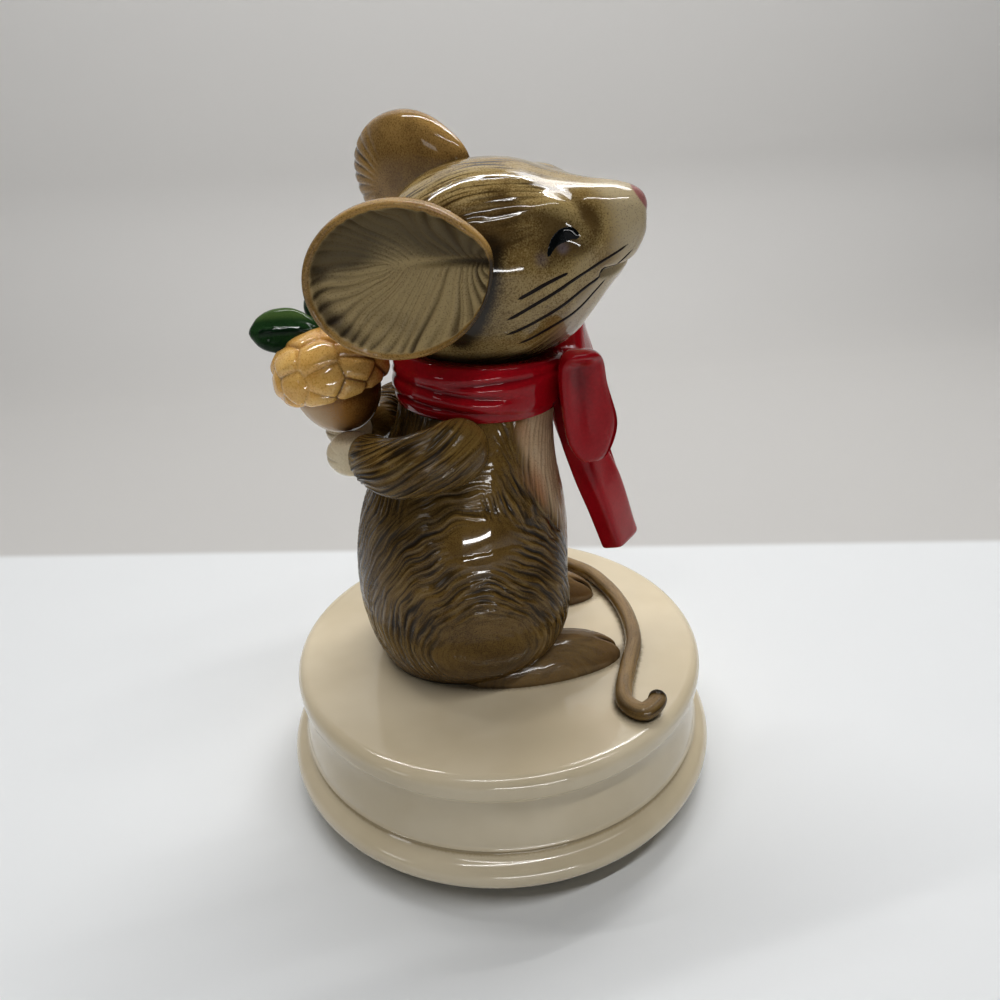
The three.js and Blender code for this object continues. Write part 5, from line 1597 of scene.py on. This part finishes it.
def makeTurningFoot():
    look = turningFoot
    bm = bmesh.new()
    bmesh.ops.create_cone(
        bm, cap_ends=True, segments=look["ribs"] * 4, radius1=look["radius"], radius2=look["radius"],
        depth=look["high"] - look["low"], matrix=Matrix.Translation((0, 0, (look["high"] + look["low"]) / 2)))
    rims = [edge for edge in bm.edges if edge.is_manifold and edge.calc_face_angle() > 1]
    bmesh.ops.bevel(
        bm, geom=rims, offset=look["edge"], segments=4, profile=0.5, affect="EDGES", material=-1)
    caps = [face for face in bm.faces if len(face.verts) > 4]
    for cap in caps:
        bmesh.ops.inset_individual(bm, faces=[cap], thickness=1.5)
    places = spots(bm)
    reach = np.hypot(places[:, 0], places[:, 1])
    angle = np.arctan2(places[:, 1], places[:, 0])
    ribs = (0.5 - 0.5 * np.cos(angle * look["ribs"])) * ease(reach, look["radius"] - 1, look["radius"] - 0.2)
    places[:, :2] *= (1 - look["ribDepth"] * ribs / look["radius"])[:, None]
    settle(bm, places)
    finishPiece(
        bm, "turn_foot_grip", darkPlastic, ["turn_foot"], body="turning_foot", sharp=35)
    groove = look["padGroove"]
    wide = (look["padRadius"] - look["padBare"]) / look["padRings"]
    rings = [(0, groove)]
    for number in range(look["padRings"]):  # raised rings under the pad
        inner = look["padBare"] + number * wide
        outer = inner + wide
        rings += [(inner + 0.5, groove), (inner + 0.9, 0), (outer - 0.4, 0), (outer, groove)]
    rings += [(look["padRadius"], look["padHigh"] - 0.2), (look["padRadius"] - 0.2, look["padHigh"])]
    rings.append((0, look["padHigh"]))
    bm = spun(rings, look["padSteps"], closed=False)
    finishPiece(bm, "foot_pad_rings", padRubber, ["foot_pad"], body="turning_foot", sharp=30)


makeTurningFoot()


# the movement keeps its own shapes and gets finishes
metalLook = dict(
    zinc=plainFinish("zinc", (176, 176, 172), (150, 151, 149), 0.42, 0.3, 0.4, metallic=1),
    steel=plainFinish("steel", (188, 188, 186), (160, 161, 163), 0.26, 0.2, 0.25, metallic=1),
    brass=plainFinish("brass", (206, 168, 92), (184, 142, 66), 0.28, 0.2, 0.3, metallic=1),
    nylon=plainFinish("nylon", (226, 222, 208), (214, 208, 192), 0.45, 0.15, 0.5),
    cover_board=plainFinish("cover_board", (112, 84, 56), (92, 66, 42), 0.75, 0.2, 0.35, rise=0.06),
)


def dressMovement():
    for part in frame["record"]["subparts"]:
        finish = metalLook.get(part["material_slot"])
        if finish:
            mesh = frame["nodes"][part["node"]].data
            mesh.materials.clear()
            mesh.materials.append(finish)


dressMovement()
print("movement dressed")


# table, backdrop, light and camera
stageLook = dict(
    reach=1.6,  # metres
    wallAt=0.42,
    cove=0.12,
    edge=0.098,  # where the table's paper ends behind the drum
    slant=0.162,
    table=(230, 232, 233),
    wall=(195, 193, 190),
    # wallHigh: the wall painted lighter higher up, as painted light
    wallHigh=(234, 232, 229),
    roughness=0.6,
)


def makeStage():
    look = stageLook
    bm = bmesh.new()
    start = look["wallAt"] - look["cove"]
    outline = [(-look["reach"], 0), (start, 0)]
    for share in np.linspace(0.1, 1, 12):
        turn = share * pi / 2
        outline.append((start + look["cove"] * math.sin(turn), look["cove"] * (1 - math.cos(turn))))
    outline.append((look["wallAt"], 2 * look["reach"]))
    line = [bm.verts.new((-look["reach"], y, z)) for y, z in outline]
    edges = [bm.edges.new(pair) for pair in zip(line, line[1:])]
    grown = bmesh.ops.extrude_edge_only(bm, edges=edges)["geom"]
    moved = [item for item in grown if isinstance(item, bmesh.types.BMVert)]
    bmesh.ops.translate(bm, vec=(2 * look["reach"], 0, 0), verts=moved)
    faceOut(bm)
    finish = Finish("backdrop_paper")
    aside, behind, height = (
        finish.node("ShaderNodeSeparateXYZ", None, {0: finish.place}, out=axis) for axis in range(3))
    past = finish.between(behind + look["slant"] * aside, look["edge"] - 0.004, look["edge"] + 0.001)
    # painted light: the backdrop grows lighter up the cove and wall
    climb = finish.between(height, -0.01, look["cove"])
    wall = finish.mix(tone(*look["wall"]), tone(*look["wallHigh"]), climb)
    colour = finish.mix(tone(*look["table"]), wall, past)
    paper = finish.surface({"Base Color": colour, "Roughness": look["roughness"]})
    backdrop = addObject("backdrop", smoothMesh(bm, "backdrop", paper))


def addLamp(name, at, size, power, glint=False):
    lamp = bpy.data.lights.new(name, "AREA")
    lamp.shape = "RECTANGLE"
    lamp.size, lamp.size_y = size
    lamp.energy = power
    holder = addObject(name, lamp)
    holder.visible_diffuse = not glint
    holder.location = at
    holder.rotation_euler = (Vector(lightLook["aim"]) - Vector(at)).to_track_quat("-Z", "Y").to_euler()


lightLook = dict(
    panels=[  # rows on the ceiling, a broad one behind, and a side one: place, size, power
        ((-0.04, 0.26, 0.78), (0.8, 0.014), 3.3),
        ((0.1, -0.27, 0.78), (0.8, 0.016), 2.4),
        ((0.3, 0.36, 0.72), (0.34, 0.14), 1.4),
        ((-0.85, -0.55, 0.32), (0.2, 0.14), 0.3),
    ],
    window=((0.1, -1, 0.1), (0.6, 0.036), 2.2),  # seen only as a glint in the glaze
    aim=(0, 0, 0.08),
    sky=0.05,
    skyColour=(0.86, 0.88, 0.9, 1),
)


def makeLight():
    look = lightLook
    for number, panel in enumerate(look["panels"]):
        addLamp("panel_%d" % (number + 1), *panel)
    addLamp("window", *look["window"], glint=True)
    world = bpy.data.worlds.new("studio")
    world.use_nodes = True
    background = world.node_tree.nodes["Background"].inputs
    background["Color"].default_value = look["skyColour"]
    background["Strength"].default_value = look["sky"]
    bpy.context.scene.world = world
    bpy.context.scene.view_settings.view_transform = "Standard"


cameraLook = dict(
    at=(-15.43, -146.79, 136.4),  # millimetres
    turn=-6.65,
    down=25.61,
    roll=-2.16,
    lens=27.036,
)


def makeCamera():
    look = cameraLook
    camera = bpy.data.cameras.new("photo_camera")
    camera.lens = look["lens"]
    camera.sensor_width = 36
    camera.clip_start = 0.01
    stand = (
        turned(look["turn"], "Z")
        @ turned(90 - look["down"], "X")
        @ turned(look["roll"], "Z")
    )
    holder = addObject("photo_camera", camera)
    holder.matrix_world = Matrix.Translation(Vector(look["at"]) * mm) @ stand
    bpy.context.scene.camera = holder


makeStage()
makeLight()
makeCamera()
print("stage set")
